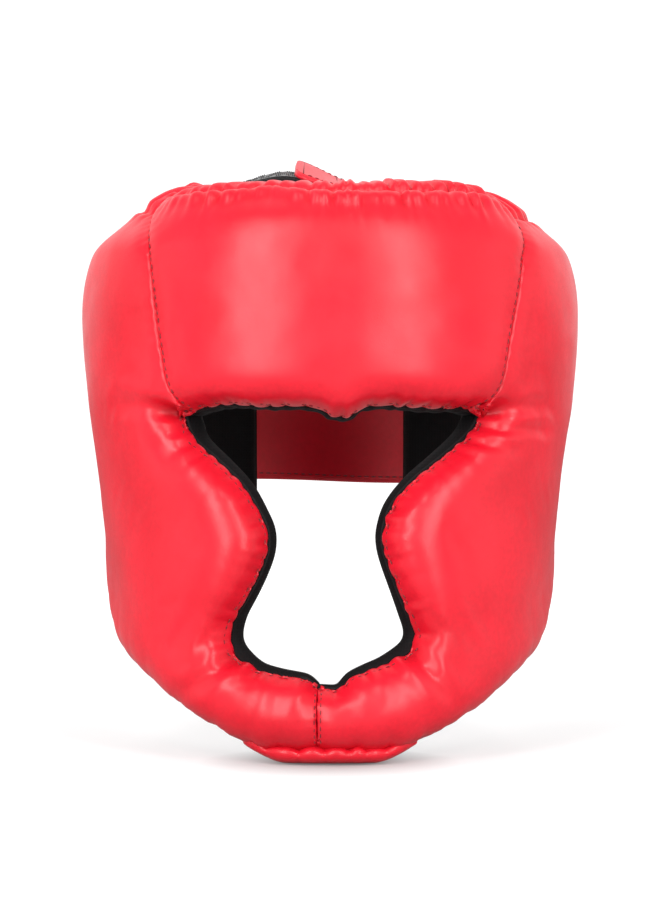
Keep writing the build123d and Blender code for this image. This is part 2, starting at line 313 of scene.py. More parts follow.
def place(phi, z, depth, lift=0.0):
    """Millimetre points on the head form."""
    r = radius(phi, z, depth) + lift
    return np.stack([r * np.sin(phi), -r * np.cos(phi), z + 0 * r], axis=-1)


def solve(f, lo, hi):
    """Where f crosses zero between lo and hi, with f(lo) < 0 < f(hi)."""
    for _ in range(50):
        mid = (lo + hi) / 2
        if f(mid) < 0:
            lo = mid
        else:
            hi = mid
    return (lo + hi) / 2


def across_at(z, depth, y=None, x=None):
    """The other coordinate's size on the form: |x| from y, or |y| at the front from x."""
    hw, front, rear, sp, fp, rp = (np.interp(z, FINE_Z, f) for f in FORM)
    a = hw - depth * sp
    if y is not None:
        b = np.where(np.asarray(y) < 0, front - depth * fp, rear - depth * rp)
        return a * np.clip(1 - (np.abs(y) / b) ** SQUARE, 0, 1) ** (1 / SQUARE)
    b = front - depth * fp
    return b * np.clip(1 - (np.abs(x) / a) ** SQUARE, 0, 1) ** (1 / SQUARE)


def phi_at_x(x, z, depth=0.3):
    """Angle at the front of the form where it is at x."""
    return np.arctan2(x, across_at(z, depth, x=x))


def phi_at_y(y, z, depth=0.0):
    """The angle on the wearer's left where the form is at y."""
    return np.arctan2(across_at(z, depth, y=y), -np.asarray(y, float))


def smooth_curve(points, spacing):
    """Catmull-Rom curve through points, resampled evenly."""
    p = np.array(points, float)
    out = []
    for i in range(len(p) - 1):
        a, b, c, d = p[max(i - 1, 0)], p[i], p[i + 1], p[min(i + 2, len(p) - 1)]
        for t in np.linspace(0, 1, 12, endpoint=False):
            square, cube = (2 * a - 5 * b + 4 * c - d) * t**2, (3 * b - a - 3 * c + d) * t**3
            out.append(0.5 * (2 * b + (c - a) * t + square + cube))
    out.append(p[-1])
    return resample(np.array(out), spacing)


def resample(line, spacing):
    """The same line with evenly spaced points, ends kept."""
    s = lengths(line)
    count = max(2, int(round(s[-1] / spacing)) + 1)
    at = np.linspace(0, s[-1], count)
    return np.stack([np.interp(at, s, line[:, k]) for k in range(line.shape[1])], axis=1)


def to_flat(phi, z):
    """Place on the flat pattern of a place on the head."""
    return (phi * R0, float(w_of_z(z)))


# ---------------------------------------------------------------- outlines of the panels
# (x, z) in millimetres, seen from the front
OPENING = {
    1: [(68.5, 155.5), (63.5, 147.3), (51.5, 137), (37.5, 126), (28, 115), (24, 104), (24, 96), (26.3, 88),
        (30, 78.5), (34.5, 67), (38.2, 57), (35.5, 50), (26, 44.4), (16, 41), (9, 38), (4, 33.3),
        (-0.5, 33.2), (-5.3, 34)],
    -1: [(-66.5, 155.3), (-62, 144.8), (-50.5, 134.5), (-39.5, 123.8), (-32, 112), (-28, 103), (-28.2, 93.5),
         (-32, 83.5), (-37, 74), (-42.5, 64.5), (-45, 55.5), (-42.6, 48.6), (-34, 42.2), (-25, 39.8),
         (-16.3, 38.5), (-10.3, 37.4), (-5.3, 34)],
}
BROW = [(-66.5, 155.3), (-59, 158), (-44, 160), (-30, 159), (-13, 159), (-4, 157.4), (0.5, 154.6), (9, 154.2),
        (14, 158), (25, 159.4), (37.5, 158.6), (49, 158), (60, 158.3), (68.5, 155.5)]
EDGE_DEPTH = 0.55  # the leather is sewn to the lining this deep
TEMPLE = {
    1: [(68.5, 155.5), (73, 158.4), (76, 162), (77.8, 167), (79.9, 178), (82.7, 194), (86, 211), (88.2, 225),
        (89.3, 237)],
    -1: [(-66.5, 155.3), (-70, 158.2), (-72, 161.5), (-73.2, 166), (-75.2, 176), (-77.8, 192), (-80.6, 214),
         (-83, 232), (-83.3, 242)],
}
TEMPLE_TOP = radians(57)  # the angle where the temple seams reach the crown
CHIN_X = -5.3  # the chin seam
FLEX_Y = 55.0  # the flex seams, and the panels end FLEX_GAP in front of them
FLEX_GAP = 0.75
# the lower edge: height by distance from the middle, and height by place from front to back
JAW = np.array([
    (0, 0), (24, 0), (40, 7), (56, 14), (71, 23), (83, 32), (95, 42), (104, 53), (112, 75),
], float)
UNDER = np.array([(-140, 0), (-92, 0), (-60, 20), (-39, 38), (0, 66), (38, 94), (62, 114)], float)
CROWN_TURNS = np.radians([
    -180, -134, -105, -80, -66, -57, -45, -25, -15, -8, 0, 20, 35, 50, 60, 80, 105, 134, 180,
])
CROWN_RISES = [0, 0, 2, 4, 1.5, -3, -7, -8, -1.5, -7, -9, -8.5, -8, -7, -6, -4.5, -2, 0, 0]


def crown_height(phi):
    """Height of the gathered crown edge on the flat pattern, over the form's top. It dips at the front."""
    return sum(np.interp(phi + radians(t), CROWN_TURNS, CROWN_RISES) for t in (-4, -2, 0, 2, 4)) / 5


def low_z(phi):
    """Height of the jaw and underside edge at an angle."""
    z = -3.0
    while z < 130:
        x, y, _ = place(phi, z, 0.15)
        if z >= np.interp(abs(x), JAW[:, 0], JAW[:, 1]) and z >= np.interp(y, UNDER[:, 0], UNDER[:, 1]):
            return z
        z += 0.5
    return z


def seam_line(side):
    """Temple seam from the eye corner up to the crown, on the flat pattern."""
    points = [to_flat(phi_at_x(x, z, 0.05 if z > 156 else EDGE_DEPTH), z) for x, z in TEMPLE[side]]
    top = side * TEMPLE_TOP
    points.append(to_flat((points[-1][0] / R0 + top * 2) / 3, 254.5))
    points.append((top * R0, W_TOP + float(crown_height(top))))
    return smooth_curve(points, EDGE_SPACING)


def crown_line(phi_a, phi_b):
    """The crown edge between two angles, on the flat pattern."""
    phis = np.linspace(phi_a, phi_b, 60)
    return resample(np.stack([phis * R0, W_TOP + crown_height(phis)], axis=1), EDGE_SPACING)


def flat_outline(points, spacing, depth=EDGE_DEPTH):
    """A curve through points seen from the front, on the flat pattern."""
    return smooth_curve([to_flat(phi_at_x(x, z, depth), z) for x, z in points], spacing)


# ---------------------------------------------------------------- flat patterns turned into meshes
def inside(polygon, pts):
    """Which points are inside a closed polygon."""
    x, y = pts[:, 0], pts[:, 1]
    hit = np.zeros(len(pts), bool)
    q = np.roll(polygon, -1, axis=0)
    for (x1, y1), (x2, y2) in zip(polygon, q):
        cross = (y1 > y) != (y2 > y)
        with np.errstate(divide="ignore", invalid="ignore"):
            hit ^= cross & (x < (x2 - x1) * (y - y1) / (y2 - y1) + x1)
    return hit


def distance_to(line, pts):
    """Distance of points to an open line, and how far along it the nearest place is."""
    a, b = line[:-1], line[1:]
    ab = b - a
    length = np.linalg.norm(ab, axis=1)
    start = np.concatenate([[0], np.cumsum(length)[:-1]])
    best = np.full(len(pts), 1e9)
    along = np.zeros(len(pts))
    for i in range(len(a)):
        t = np.clip(((pts - a[i]) @ ab[i]) / max(length[i] ** 2, 1e-9), 0, 1)
        d = np.linalg.norm(pts - (a[i] + t[:, None] * ab[i]), axis=1)
        better = d < best
        best[better] = d[better]
        along[better] = (start[i] + t * length[i])[better]
    return best, along


def pattern(sides, holes=()):
    """Triangulates a flat panel. sides is [(kind, line)] in order round the outline; holes are closed lines.

    Returns points, triangles, and the boundary loops as point indices with their kinds.
    """
    outline, kinds = [], []
    for kind, line in sides:
        outline += list(line[:-1])
        kinds += [kind] * (len(line) - 1)
    outline = np.array(outline)
    loops = [outline] + [h[:-1] for h in holes]

    def within(pts):
        keep = inside(outline, pts)
        for hole in loops[1:]:
            keep &= ~inside(hole, pts)
        return keep

    lo, hi = outline.min(0), outline.max(0)
    rows = []
    for j, v in enumerate(np.arange(lo[1], hi[1], SPACING * 0.866)):
        u = np.arange(lo[0] + (j % 2) * SPACING / 2, hi[0], SPACING)
        rows.append(np.stack([u, np.full(len(u), v)], axis=1))
    grid = np.concatenate(rows)
    grid = grid[within(grid)]
    for loop in loops:
        d, _ = distance_to(np.vstack([loop, loop[:1]]), grid)
        grid = grid[d > SPACING * 0.62]
    pts = np.vstack(loops + [grid])
    edges, start = [], 0
    for loop in loops:
        n = len(loop)
        edges += [(start + i, start + (i + 1) % n) for i in range(n)]
        start += n
    verts, _, faces, orig, _, _ = geometry.delaunay_2d_cdt([Vector(p) for p in pts], edges, [], 0, 1e-5)
    verts = np.array([tuple(v) for v in verts])
    faces = np.array([tuple(f) for f in faces])
    tris = [tuple(f) for f in faces[within(verts[faces].mean(1))]]
    back = {}
    for new, olds in enumerate(orig):
        for old in olds:
            back[old] = new
    rings, start = [], 0
    for k, loop in enumerate(loops):
        n = len(loop)
        names = kinds if k == 0 else ["ear"] * n
        rings.append(([back[start + i] for i in range(n)], names))
        start += n
    return verts, tris, rings


def swell(d, at, reach):
    """1 at a distance of at, falling away smoothly on both sides."""
    return np.exp(-((d - at) / reach) ** 2)


def rolled(d, amount, reach):
    """Depth of a rounded edge, vertical at the very edge."""
    t = np.clip(1 - d / reach, 0, 1)
    return amount * (1 - np.sqrt(np.clip(1 - t**3, 0, 1)))


# kind: (roll amount, roll reach, dip amount, dip reach)
COVER_EDGE = {
    "open": (0.52, 27, 0.02, 5), "brow": (0.50, 20, 0.02, 5), "jaw": (0.54, 21, 0, 1),
    "crown": (0.40, 7, 0, 1), "temple": (0, 1, 0.045, 4), "chin": (0, 1, 0.06, 4),
    "flex": (0.1, 8, 0.05, 5), "ear": (0.16, 7, 0.02, 12),
}
LINING_EDGE = {
    "open": (0.12, 9, 0, 1), "brow": (0.12, 9, 0, 1), "jaw": (0.16, 9, 0, 1), "crown": (0.06, 5, 0, 1),
    "temple": (0.03, 5, 0, 1), "chin": (0.03, 5, 0, 1), "flex": (0.08, 6, 0, 1), "ear": (0.08, 6, 0, 1),
}
# kind: (depth where the edge ends, bulge, shift), both sideways moves in millimetres away from the panel
COVER_RIM = {
    "open": (0.57, 0.3, -1.3), "brow": (0.57, 0.3, -1.3), "jaw": (0.88, 1.6, -0.6),
    "crown": (0.97, 1.3, -2.5), "temple": (0.55, 0, 0), "chin": (0.55, 0, 0),
    "flex": (0.9, 0.2, -0.5), "ear": (0.9, 0, -0.4),
}
LINING_RIM = {
    "open": (0.56, 1.9, -1.0), "brow": (0.56, 1.9, -1.0), "jaw": (0.86, 0.5, -0.6),
    "crown": (0.86, 0.4, -1.6), "temple": (0.9, 0, 0), "chin": (0.9, 0, 0),
    "flex": (0.9, 0, -0.6), "ear": (0.9, 0, -0.6),
}


def mesh_object(name, verts_mm, faces):
    """A smooth object from points in millimetres, its faces turned outwards."""
    mesh = bpy.data.meshes.new(name)
    points = [tuple(v) for v in np.asarray(verts_mm) * MM]
    mesh.from_pydata(points, [], [tuple(int(i) for i in f) for f in faces])
    mesh.validate()
    bm = bmesh.new()
    bm.from_mesh(mesh)
    bmesh.ops.recalc_face_normals(bm, faces=bm.faces)
    bm.to_mesh(mesh)
    bm.free()
    mesh.polygons.foreach_set("use_smooth", [True] * len(mesh.polygons))
    obj = bpy.data.objects.new(name, mesh)
    bpy.context.scene.collection.objects.link(obj)
    return obj


def vertex_normals(pts, tris):
    """Unit normals of a triangle mesh."""
    n = np.zeros_like(pts)
    c = np.cross(pts[tris[:, 1]] - pts[tris[:, 0]], pts[tris[:, 2]] - pts[tris[:, 0]])
    for k in range(3):
        np.add.at(n, tris[:, k], c)
    return unit(n)


class Gathers:
    """Rounded folds with sharp valleys between, spaced low to high times pitch along a line."""

    def __init__(self, low, high, pitch, length):
        self.valleys = [0.0]
        while self.valleys[-1] < length:
            self.valleys.append(self.valleys[-1] + rng.uniform(low, high) * pitch)
        self.valleys = np.array(self.valleys)
        self.size = rng.uniform(0.45, 1.15, len(self.valleys))

    def __call__(self, s):
        s = np.clip(s, 0, self.valleys[-1] - 0.01)
        k = np.clip(np.searchsorted(self.valleys, s, side="right") - 1, 0, len(self.valleys) - 2)
        t = (s - self.valleys[k]) / (self.valleys[k + 1] - self.valleys[k])
        return (np.abs(np.sin(pi * t)) ** 0.75 - 0.55) * self.size[k]


def fbm(pts, scale, seed):
    """Smooth noise at points, about -1 to 1."""
    off = Vector((seed * 13.1, seed * 7.7, seed * 3.3))
    return np.array([noise.fractal(Vector(p) / scale + off, 1.0, 2.0, 3) for p in pts])


class Panel:
    """One padded panel on the flat pattern, with its distances to every edge."""

    def __init__(self, sides, holes=()):
        self.verts, self.tris, self.rings = pattern(sides, holes)
        self.lines = {}
        for kind, line in list(sides) + [("ear", h) for h in holes]:
            self.lines.setdefault(kind, []).append(line)
        self.dist, _ = self.fields(self.verts)
        self.phi = self.verts[:, 0] / R0
        self.z = z_of_w(self.verts[:, 1])

    def fields(self, points):
        """Distance of flat points to each kind of edge, and how far along it they are."""
        dist, along = {}, {}
        for kind, lines in self.lines.items():
            found = [distance_to(line, points) for line in lines]
            nearest = np.argmin([d for d, _ in found], axis=0)
            dist[kind] = np.choose(nearest, [d for d, _ in found])
            along[kind] = np.choose(nearest, [a for _, a in found])
        return dist, along

    def depth(self, edge, base=0.0):
        """How deep each point is, with rounded edges and the dips beside seams."""
        keep = np.ones(len(self.verts)) * (1 - base)
        for kind, d in self.dist.items():
            roll, roll_reach, dip, dip_reach = edge[kind]
            keep *= 1 - rolled(d, roll, roll_reach)
            keep *= 1 - dip * swell(d, 0, dip_reach)
        return 1 - keep

    def skin(self, depths, rim, steps, outward=True, bulge_scale=None):
        """The panel's surface at these depths with its edges turned in.

        Returns points, faces, how many points are surface, and notes: each point's flat place and how
        much it wrinkles.
        """
        pts = list(place(self.phi, self.z, depths))
        faces = [t if outward else t[::-1] for t in self.tris]
        surface = len(pts)
        notes = [np.column_stack([self.verts, np.ones(surface)])]
        for ring, kinds in self.rings:
            loop = self.verts[ring]
            n = len(ring)
            tangent = np.roll(loop, -1, axis=0) - np.roll(loop, 1, axis=0)
            normal = unit(np.stack([tangent[:, 1], -tangent[:, 0]], axis=1))
            following = np.roll(loop, -1, axis=0)
            area = np.sum(loop[:, 0] * following[:, 1] - following[:, 0] * loop[:, 1])
            if (area < 0) == (ring is self.rings[0][0]):
                normal = -normal
            spec = np.array([rim[k] for k in kinds], float)
            if bulge_scale is not None:
                spec[:, 1] *= bulge_scale(loop)
            for _ in range(5):
                spec = (np.roll(spec, 1, axis=0) + 2 * spec + np.roll(spec, -1, axis=0)) / 4
                normal = unit(np.roll(normal, 1, axis=0) + 2 * normal + np.roll(normal, -1, axis=0))
            previous = list(ring)
            d0 = depths[ring]
            for k in range(1, steps + 1):
                t = k / steps
                d = d0 + (spec[:, 0] - d0) * (1 - cos(pi * t)) / 2
                out = spec[:, 1] * sin(pi * t) + spec[:, 2] * t
                flat = loop + normal * out[:, None]
                current = list(range(len(pts), len(pts) + n))
                pts += list(place(flat[:, 0] / R0, z_of_w(flat[:, 1]), d))
                notes.append(np.column_stack([loop, np.full(n, 1 - t)]))
                for i in range(n):
                    j = (i + 1) % n
                    faces.append((previous[i], previous[j], current[j], current[i]))
                previous = current
        return np.array(pts), faces, surface, np.vstack(notes)


CLOTH_FRAMES = 16
CLOTH = {
    "quality": 4, "mass": 0.2, "tension_stiffness": 12, "compression_stiffness": 12, "shear_stiffness": 4,
    "bending_stiffness": 0.4, "air_damping": 2, "use_pressure": True, "uniform_pressure_force": 3.0,
}


def simulate(obj, pinned, growth, cap_mm):
    """Puffs a leather skin with Blender's cloth, then keeps each point within a cap of where it was."""
    before = places(obj.data)
    group = obj.vertex_groups.new(name="pin")
    group.add([int(i) for i in pinned], 1.0, "REPLACE")
    cloth = obj.modifiers.new("Cloth", "CLOTH")
    for key, value in CLOTH.items():
        setattr(cloth.settings, key, value)
    cloth.settings.vertex_group_mass = "pin"
    cloth.settings.shrink_min = -growth
    cloth.settings.effector_weights.gravity = 0
    cloth.collision_settings.use_collision = False
    cloth.point_cache.frame_start = 1
    cloth.point_cache.frame_end = CLOTH_FRAMES + 5
    scene = bpy.context.scene
    for f in range(1, CLOTH_FRAMES + 1):
        scene.frame_set(f)
    deps = bpy.context.evaluated_depsgraph_get()
    move = places(obj.evaluated_get(deps).data) - before
    size = np.linalg.norm(move, axis=1, keepdims=True)
    cap = cap_mm * MM
    move *= np.where(size > 0, cap * np.tanh(size / cap) / np.maximum(size, 1e-12), 0)
    obj.modifiers.remove(cloth)
    obj.vertex_groups.remove(group)
    scene.frame_set(1)
    obj.data.vertices.foreach_set("co", (before + move).ravel())
    obj.data.update()


def refine(obj, notes=None):
    """One step of Loop subdivision, with each triangle cut in four. Returns the notes of the new points."""
    mesh = obj.data
    pts = places(mesh)
    tris = []
    for poly in mesh.polygons:
        v = list(poly.vertices)
        tris += [(v[0], v[i], v[i + 1]) for i in range(1, len(v) - 1)]
    tris = np.array(tris)
    ends = np.concatenate([tris[:, [0, 1]], tris[:, [1, 2]], tris[:, [2, 0]]])
    opposite = np.concatenate([tris[:, 2], tris[:, 0], tris[:, 1]])
    edges, which = np.unique(np.sort(ends, axis=1), axis=0, return_inverse=True)
    which = which.ravel()
    uses = np.bincount(which, minlength=len(edges))
    across = np.zeros((len(edges), 3))
    np.add.at(across, which, pts[opposite])
    middle = pts[edges].mean(1)
    border = (uses != 2)[:, None]
    new = np.where(border, middle, 0.75 * middle + 0.125 * across)

    def neighbours(lines):
        total, count = np.zeros_like(pts), np.zeros(len(pts))
        for a, b in ((0, 1), (1, 0)):
            np.add.at(total, lines[:, a], pts[lines[:, b]])
            np.add.at(count, lines[:, a], 1)
        return total, count

    around, count = neighbours(edges)
    share = 0.375 / np.maximum(count, 1)
    moved = pts * 0.625 + around * share[:, None]
    around, count = neighbours(edges[uses != 2])
    rim = count > 0
    moved[rim] = 0.75 * pts[rim] + 0.25 * around[rim] / count[rim][:, None]
    n, t = len(pts), len(tris)
    ab, bc, ca = n + which[:t], n + which[t:2 * t], n + which[2 * t:]
    a, b, c = tris.T
    quarters = ((a, ab, ca), (ab, b, bc), (ca, bc, c), (ab, bc, ca))
    faces = np.concatenate([np.stack(f, 1) for f in quarters])
    fresh = bpy.data.meshes.new(mesh.name)
    fresh.from_pydata(np.vstack([moved, new]).tolist(), [], faces.tolist())
    fresh.polygons.foreach_set("use_smooth", [True] * len(fresh.polygons))
    obj.data = fresh
    bpy.data.meshes.remove(mesh)
    return None if notes is None else np.vstack([notes, notes[edges].mean(1)])


def thicken(obj, mm, offset=-1):
    """Gives a skin its thickness."""
    m = obj.modifiers.new("thick", "SOLIDIFY")
    m.thickness = mm * MM
    m.offset = offset
    old = obj.data
    obj.data = bpy.data.meshes.new_from_object(obj.evaluated_get(bpy.context.evaluated_depsgraph_get()))
    obj.modifiers.clear()
    bpy.data.meshes.remove(old)


# ---------------------------------------------------------------- creases, folds and puckers
# side, the crease's line as (x, z) seen from the front, how deep and how wide it is
CREASES = [
    (-1, [(-67, 155), (-76, 156.5), (-86, 159.5), (-96, 161)], 2.8, 4.0),
    (-1, [(-66, 150), (-75, 149), (-84, 150)], 1.4, 2.6),
    (1, [(69, 154.5), (78, 157), (89, 159.5), (98, 160)], 2.4, 3.2),
    (1, [(67, 150.5), (78, 149.5), (89, 149.5), (99, 148)], 1.8, 2.6),
    (1, [(65, 146), (75, 142), (86, 138)], 1.3, 2.4),
    (1, [(69, 156), (77, 161), (86, 166)], 1.4, 2.6),
    (-1, [(-46, 48), (-53, 40), (-60, 34), (-68, 30)], 1.9, 3.4),
    (1, [(38, 51), (43, 43), (48, 35), (55, 28)], 1.9, 3.4),
    (1, [(25, 107), (32, 105), (38, 106)], 1.0, 1.8),
    (1, [(25, 112), (33, 114), (41, 118)], 0.8, 1.8),
    (-1, [(-20, 36), (-24, 27), (-26, 18)], 0.4, 3.4),
    (1, [(16, 38), (19, 29), (18, 20)], 0.4, 3.4),
]


def crease_field(side, verts):
    """How far the leather is pressed in by its creases, in millimetres."""
    total = np.zeros(len(verts))
    for where, points, deep, wide in CREASES:
        if where == side:
            line = flat_outline(points, 2.0, 0.1)
            d, along = distance_to(line, verts)
            fade = np.clip(1 - along / (lengths(line)[-1] * 1.05), 0, 1) ** 0.7
            total += deep * fade * (swell(d, 0, wide) - 0.45 * swell(d, 1.9 * wide, 0.9 * wide))
    return total


RIDGE = 20.0  # the front of the gathered crown stands in a scalloped ridge this far below its edge
GROOVE = 22.0  # the elastic that gathers the crown at the sides runs this far below its edge
crown_gathers = Gathers(0.55, 1.35, 13.5, 2 * pi * R0)
ridge_gathers = Gathers(0.5, 1.5, 7.0, 2 * pi * R0)
edge_gathers = Gathers(0.6, 1.4, 8.0, 700)
jaw_gathers = Gathers(0.6, 1.4, 17, 700)
stitch_gathers = Gathers(0.7, 1.3, 5.0, 700)
# kind of edge, how high its puckers stand, how soon they fade, and their folds
PUCKERS = (
    ("open", 1.1, 4.5, edge_gathers), ("brow", 2.0, 5, edge_gathers),
    ("temple", 0.5, 5, stitch_gathers), ("chin", 0.5, 5, stitch_gathers),
)


def wrinkle(panel, side, flat):
    """How far the leather is moved outwards off its smooth shape at flat points, in millimetres."""
    dist, along = panel.fields(flat)
    around, phi = flat[:, 0] + pi * R0, flat[:, 0] / R0
    move = np.zeros(len(flat))
    if "crown" in dist:
        d = dist["crown"]
        z = z_of_w(flat[:, 1])
        if side:
            slant = around - side * 0.5 * np.minimum(d, 30)
            reach = np.where(d < GROOVE, 1, swell(d, GROOVE, 7))
            size = 5.0 if side < 0 else 3.4
            move += reach * (size * (crown_gathers(slant) + 0.22) + 1.3 * ridge_gathers(slant))
            move += swell(d, 8, 8) - 3.0 * swell(d, GROOVE + 2, 3)
            move -= 3.2 * swell(z, 249, 14) * np.abs(np.sin(phi)) ** 1.5
        else:
            more = 1 + 0.6 * np.clip(phi / 0.4, -0.5, 1)
            scallop, fold = ridge_gathers(around), crown_gathers(around)
            front = d - RIDGE - 1.6 * fold - scallop
            reach = np.where(front < -7, 1, swell(front, -7, 5))
            move += more * reach * (2.4 * ridge_gathers(around + 0.2 * d) + 1.9 * fold)
            flush = 1 - swell(dist["temple"], 0, 16)
            move += flush * (2.6 * swell(z, 246, 9) + 2.0 * swell(z, 258, 4))
            move += flush * (2.9 + 1.7 * scallop + 1.4 * fold) * swell(front, 0, 4.5)
            move -= flush * 4.2 * swell(front, -8.5, 3.2)
            move += 0.9 * more * scallop * swell(front, 5, 7)
    for kind, size, reach, gathers in PUCKERS:
        if kind in dist:
            move += size * np.exp(-dist[kind] / reach) * gathers(along[kind])
    if "jaw" in dist:
        d = dist["jaw"]
        move += 1.5 * np.exp(-d / 12) * jaw_gathers(along["jaw"])
        if side:
            move += 2.2 * swell(d, 15, 13) * swell(np.abs(phi), 1.15, 0.6)
    if side:
        move -= crease_field(side, flat)
    return move


def lip(loop):
    """The lining's black lip is widest at the corners of the mouth."""
    return 1 + 1.3 * swell(z_of_w(loop[:, 1]), 50, 9)


def build_panel(name, panel, side, body, growth, cap):
    """The leather cover and the lining of a panel, for the CAD nodes whose names start with name."""
    pts, faces, surface, notes = panel.skin(panel.depth(COVER_EDGE, 0.035), COVER_RIM, 4)
    cover = mesh_object(name + "_leather", pts, faces)
    edge = {i for ring, _ in panel.rings for i in ring}
    simulate(cover, sorted(edge | set(range(surface, len(pts)))), growth, cap)
    notes = refine(cover, notes)
    pts = places(cover.data) / MM
    normals = vertex_normals(pts, np.array([tuple(p.vertices) for p in cover.data.polygons]))
    normals *= np.sign(np.mean(np.sum(normals * (pts - [0, 0, 150.0]), axis=1)))
    move = (wrinkle(panel, side, notes[:, :2]) + 0.5 * fbm(pts, 45.0, 3 + len(name))) * notes[:, 2]
    cover.data.vertices.foreach_set("co", ((pts + normals * move[:, None]) * MM).ravel())
    thicken(cover, 1.1)
    own(cover, body, "red_leather", name + "_cover", name + "_impact_foam")

    inner = 1 - panel.depth(LINING_EDGE)
    pts, faces, _, _ = panel.skin(inner, LINING_RIM, 7, outward=False, bulge_scale=lip)
    lining = mesh_object(name + "_inner_lining", pts, faces)
    refine(lining)
    thicken(lining, 0.9, offset=0)
    own(lining, body, "black_lining", name + "_comfort_foam", name + "_lining")
    return cover


seams = {side: seam_line(side) for side, _ in SIDES}

# forehead: brow from the wearer's right to left, up the left seam, back over the crown, down the right seam
brow = flat_outline(BROW, EDGE_SPACING)
brow[:, 1] += 0.9 * edge_gathers(np.arange(len(brow)) * EDGE_SPACING)
brow[0], brow[-1] = seams[-1][0], seams[1][0]
crown_front = crown_line(seams[-1][-1][0] / R0, seams[1][-1][0] / R0)
crown_front[0], crown_front[-1] = seams[-1][-1], seams[1][-1]
forehead = Panel([
    ("brow", brow), ("temple", seams[1]), ("crown", crown_front[::-1]), ("temple", seams[-1][::-1]),
])


def ear_ellipse(name):
    """The middle of an ear opening and its radii, in Y and Z."""
    low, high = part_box(name + "_ear_binding")
    middle = (low.y + high.y) / 2 / MM, (low.z + high.z) / 2 / MM
    return *middle, (high.y - low.y) / 2 / MM, (high.z - low.z) / 2 / MM


def ear_hole(side, name):
    """The ear opening's edge on the flat pattern."""
    cy, cz, ry, rz = ear_ellipse(name)
    points = []
    for a in np.linspace(0, 2 * pi, 49):
        y, z = cy + ry * cos(a), cz + rz * sin(a)
        points.append((side * phi_at_y(y, z, 0.1) * R0, float(w_of_z(z))))
    return np.array(points)


def side_panel(side, name):
    """A side pad: half the face opening and the chin seam, then back to the flex seam, crown and temple."""
    rear_y = FLEX_Y - FLEX_GAP
    opening = flat_outline(OPENING[side], EDGE_SPACING)
    opening[0] = seams[side][0]
    chin_low = 5.0
    phi_chin_low = phi_at_x(CHIN_X, chin_low, 0.3)
    chin = resample(np.array([opening[-1], to_flat(phi_chin_low, chin_low)]), EDGE_SPACING)
    flex_low = low_z(side * phi_at_y(rear_y, 112, 0))
    phi_flex_low = side * phi_at_y(rear_y, flex_low)
    angles = np.linspace(phi_chin_low, phi_flex_low, 70)
    jaw = np.array([to_flat(a, max(low_z(a), chin_low if abs(a) < 0.5 else 0)) for a in angles])
    jaw[0] = chin[-1]
    jaw[:, 1] = np.convolve(np.pad(jaw[:, 1], 2, mode="edge"), np.ones(5) / 5, mode="valid")
    jaw[0] = chin[-1]
    jaw = resample(jaw, EDGE_SPACING)
    heights = np.linspace(float(z_of_w(jaw[-1][1])), 256.0, 60)
    flex = np.array([to_flat(side * phi_at_y(rear_y, z), z) for z in heights])
    flex[0] = jaw[-1]
    top_phi = flex[-1][0] / R0
    flex = np.vstack([flex, [(flex[-1][0], W_TOP + float(crown_height(top_phi)))]])
    flex = resample(flex, EDGE_SPACING)
    crown = crown_line(top_phi, seams[side][-1][0] / R0)
    crown[0], crown[-1] = flex[-1], seams[side][-1]
    sides = [
        ("open", opening), ("chin", chin), ("jaw", jaw), ("flex", flex), ("crown", crown),
        ("temple", seams[side][::-1]),
    ]
    return Panel(sides, [ear_hole(side, name)])


def wing_panel(side, name):
    """A rear wing: its flex seam, sloping top, rear edge and bottom."""
    low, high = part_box(name + "_wing_cover")
    bottom, top_front = low.z / MM, high.z / MM
    edge_x = min(abs(low.x), abs(high.x)) / MM
    front_y, shoulder_y, top_rear = low.y / MM, 105.0, 234.0
    flex = [to_flat(side * phi_at_y(front_y, z), z) for z in np.linspace(bottom, top_front, 40)]
    top = []
    for t in np.linspace(0, 1, 12):
        y, z = front_y + t * (shoulder_y - front_y), top_front + t * (top_rear - top_front)
        reach = radius(pi, z, 0.1)
        top.append(to_flat(side * phi_at_y(min(y, reach - 2), z), z))

    def at_edge(z):
        return to_flat(side * solve(lambda a: edge_x - radius(a, z, 0.1) * sin(a), pi / 2, pi), z)

    top = [p for p in top if abs(p[0]) < abs(at_edge(top_rear)[0]) - 2] + [at_edge(top_rear)]
    edge = [at_edge(z) for z in np.linspace(top_rear, bottom, 30)]
    lines = (("flex", flex), ("jaw", top), ("jaw", edge), ("jaw", [edge[-1], flex[0]]))
    return Panel([(kind, resample(np.array(line), EDGE_SPACING)) for kind, line in lines])


covers = [build_panel("forehead", forehead, 0, SHELL, 0.002, 1.8)]
for side, name in SIDES:
    covers.append(build_panel(name + "_side", side_panel(side, name), side, SHELL, 0.002, 2.0))
for side, name in SIDES:
    build_panel(name + "_wing", wing_panel(side, name), 0, name + "_wing", 0.004, 1.0)


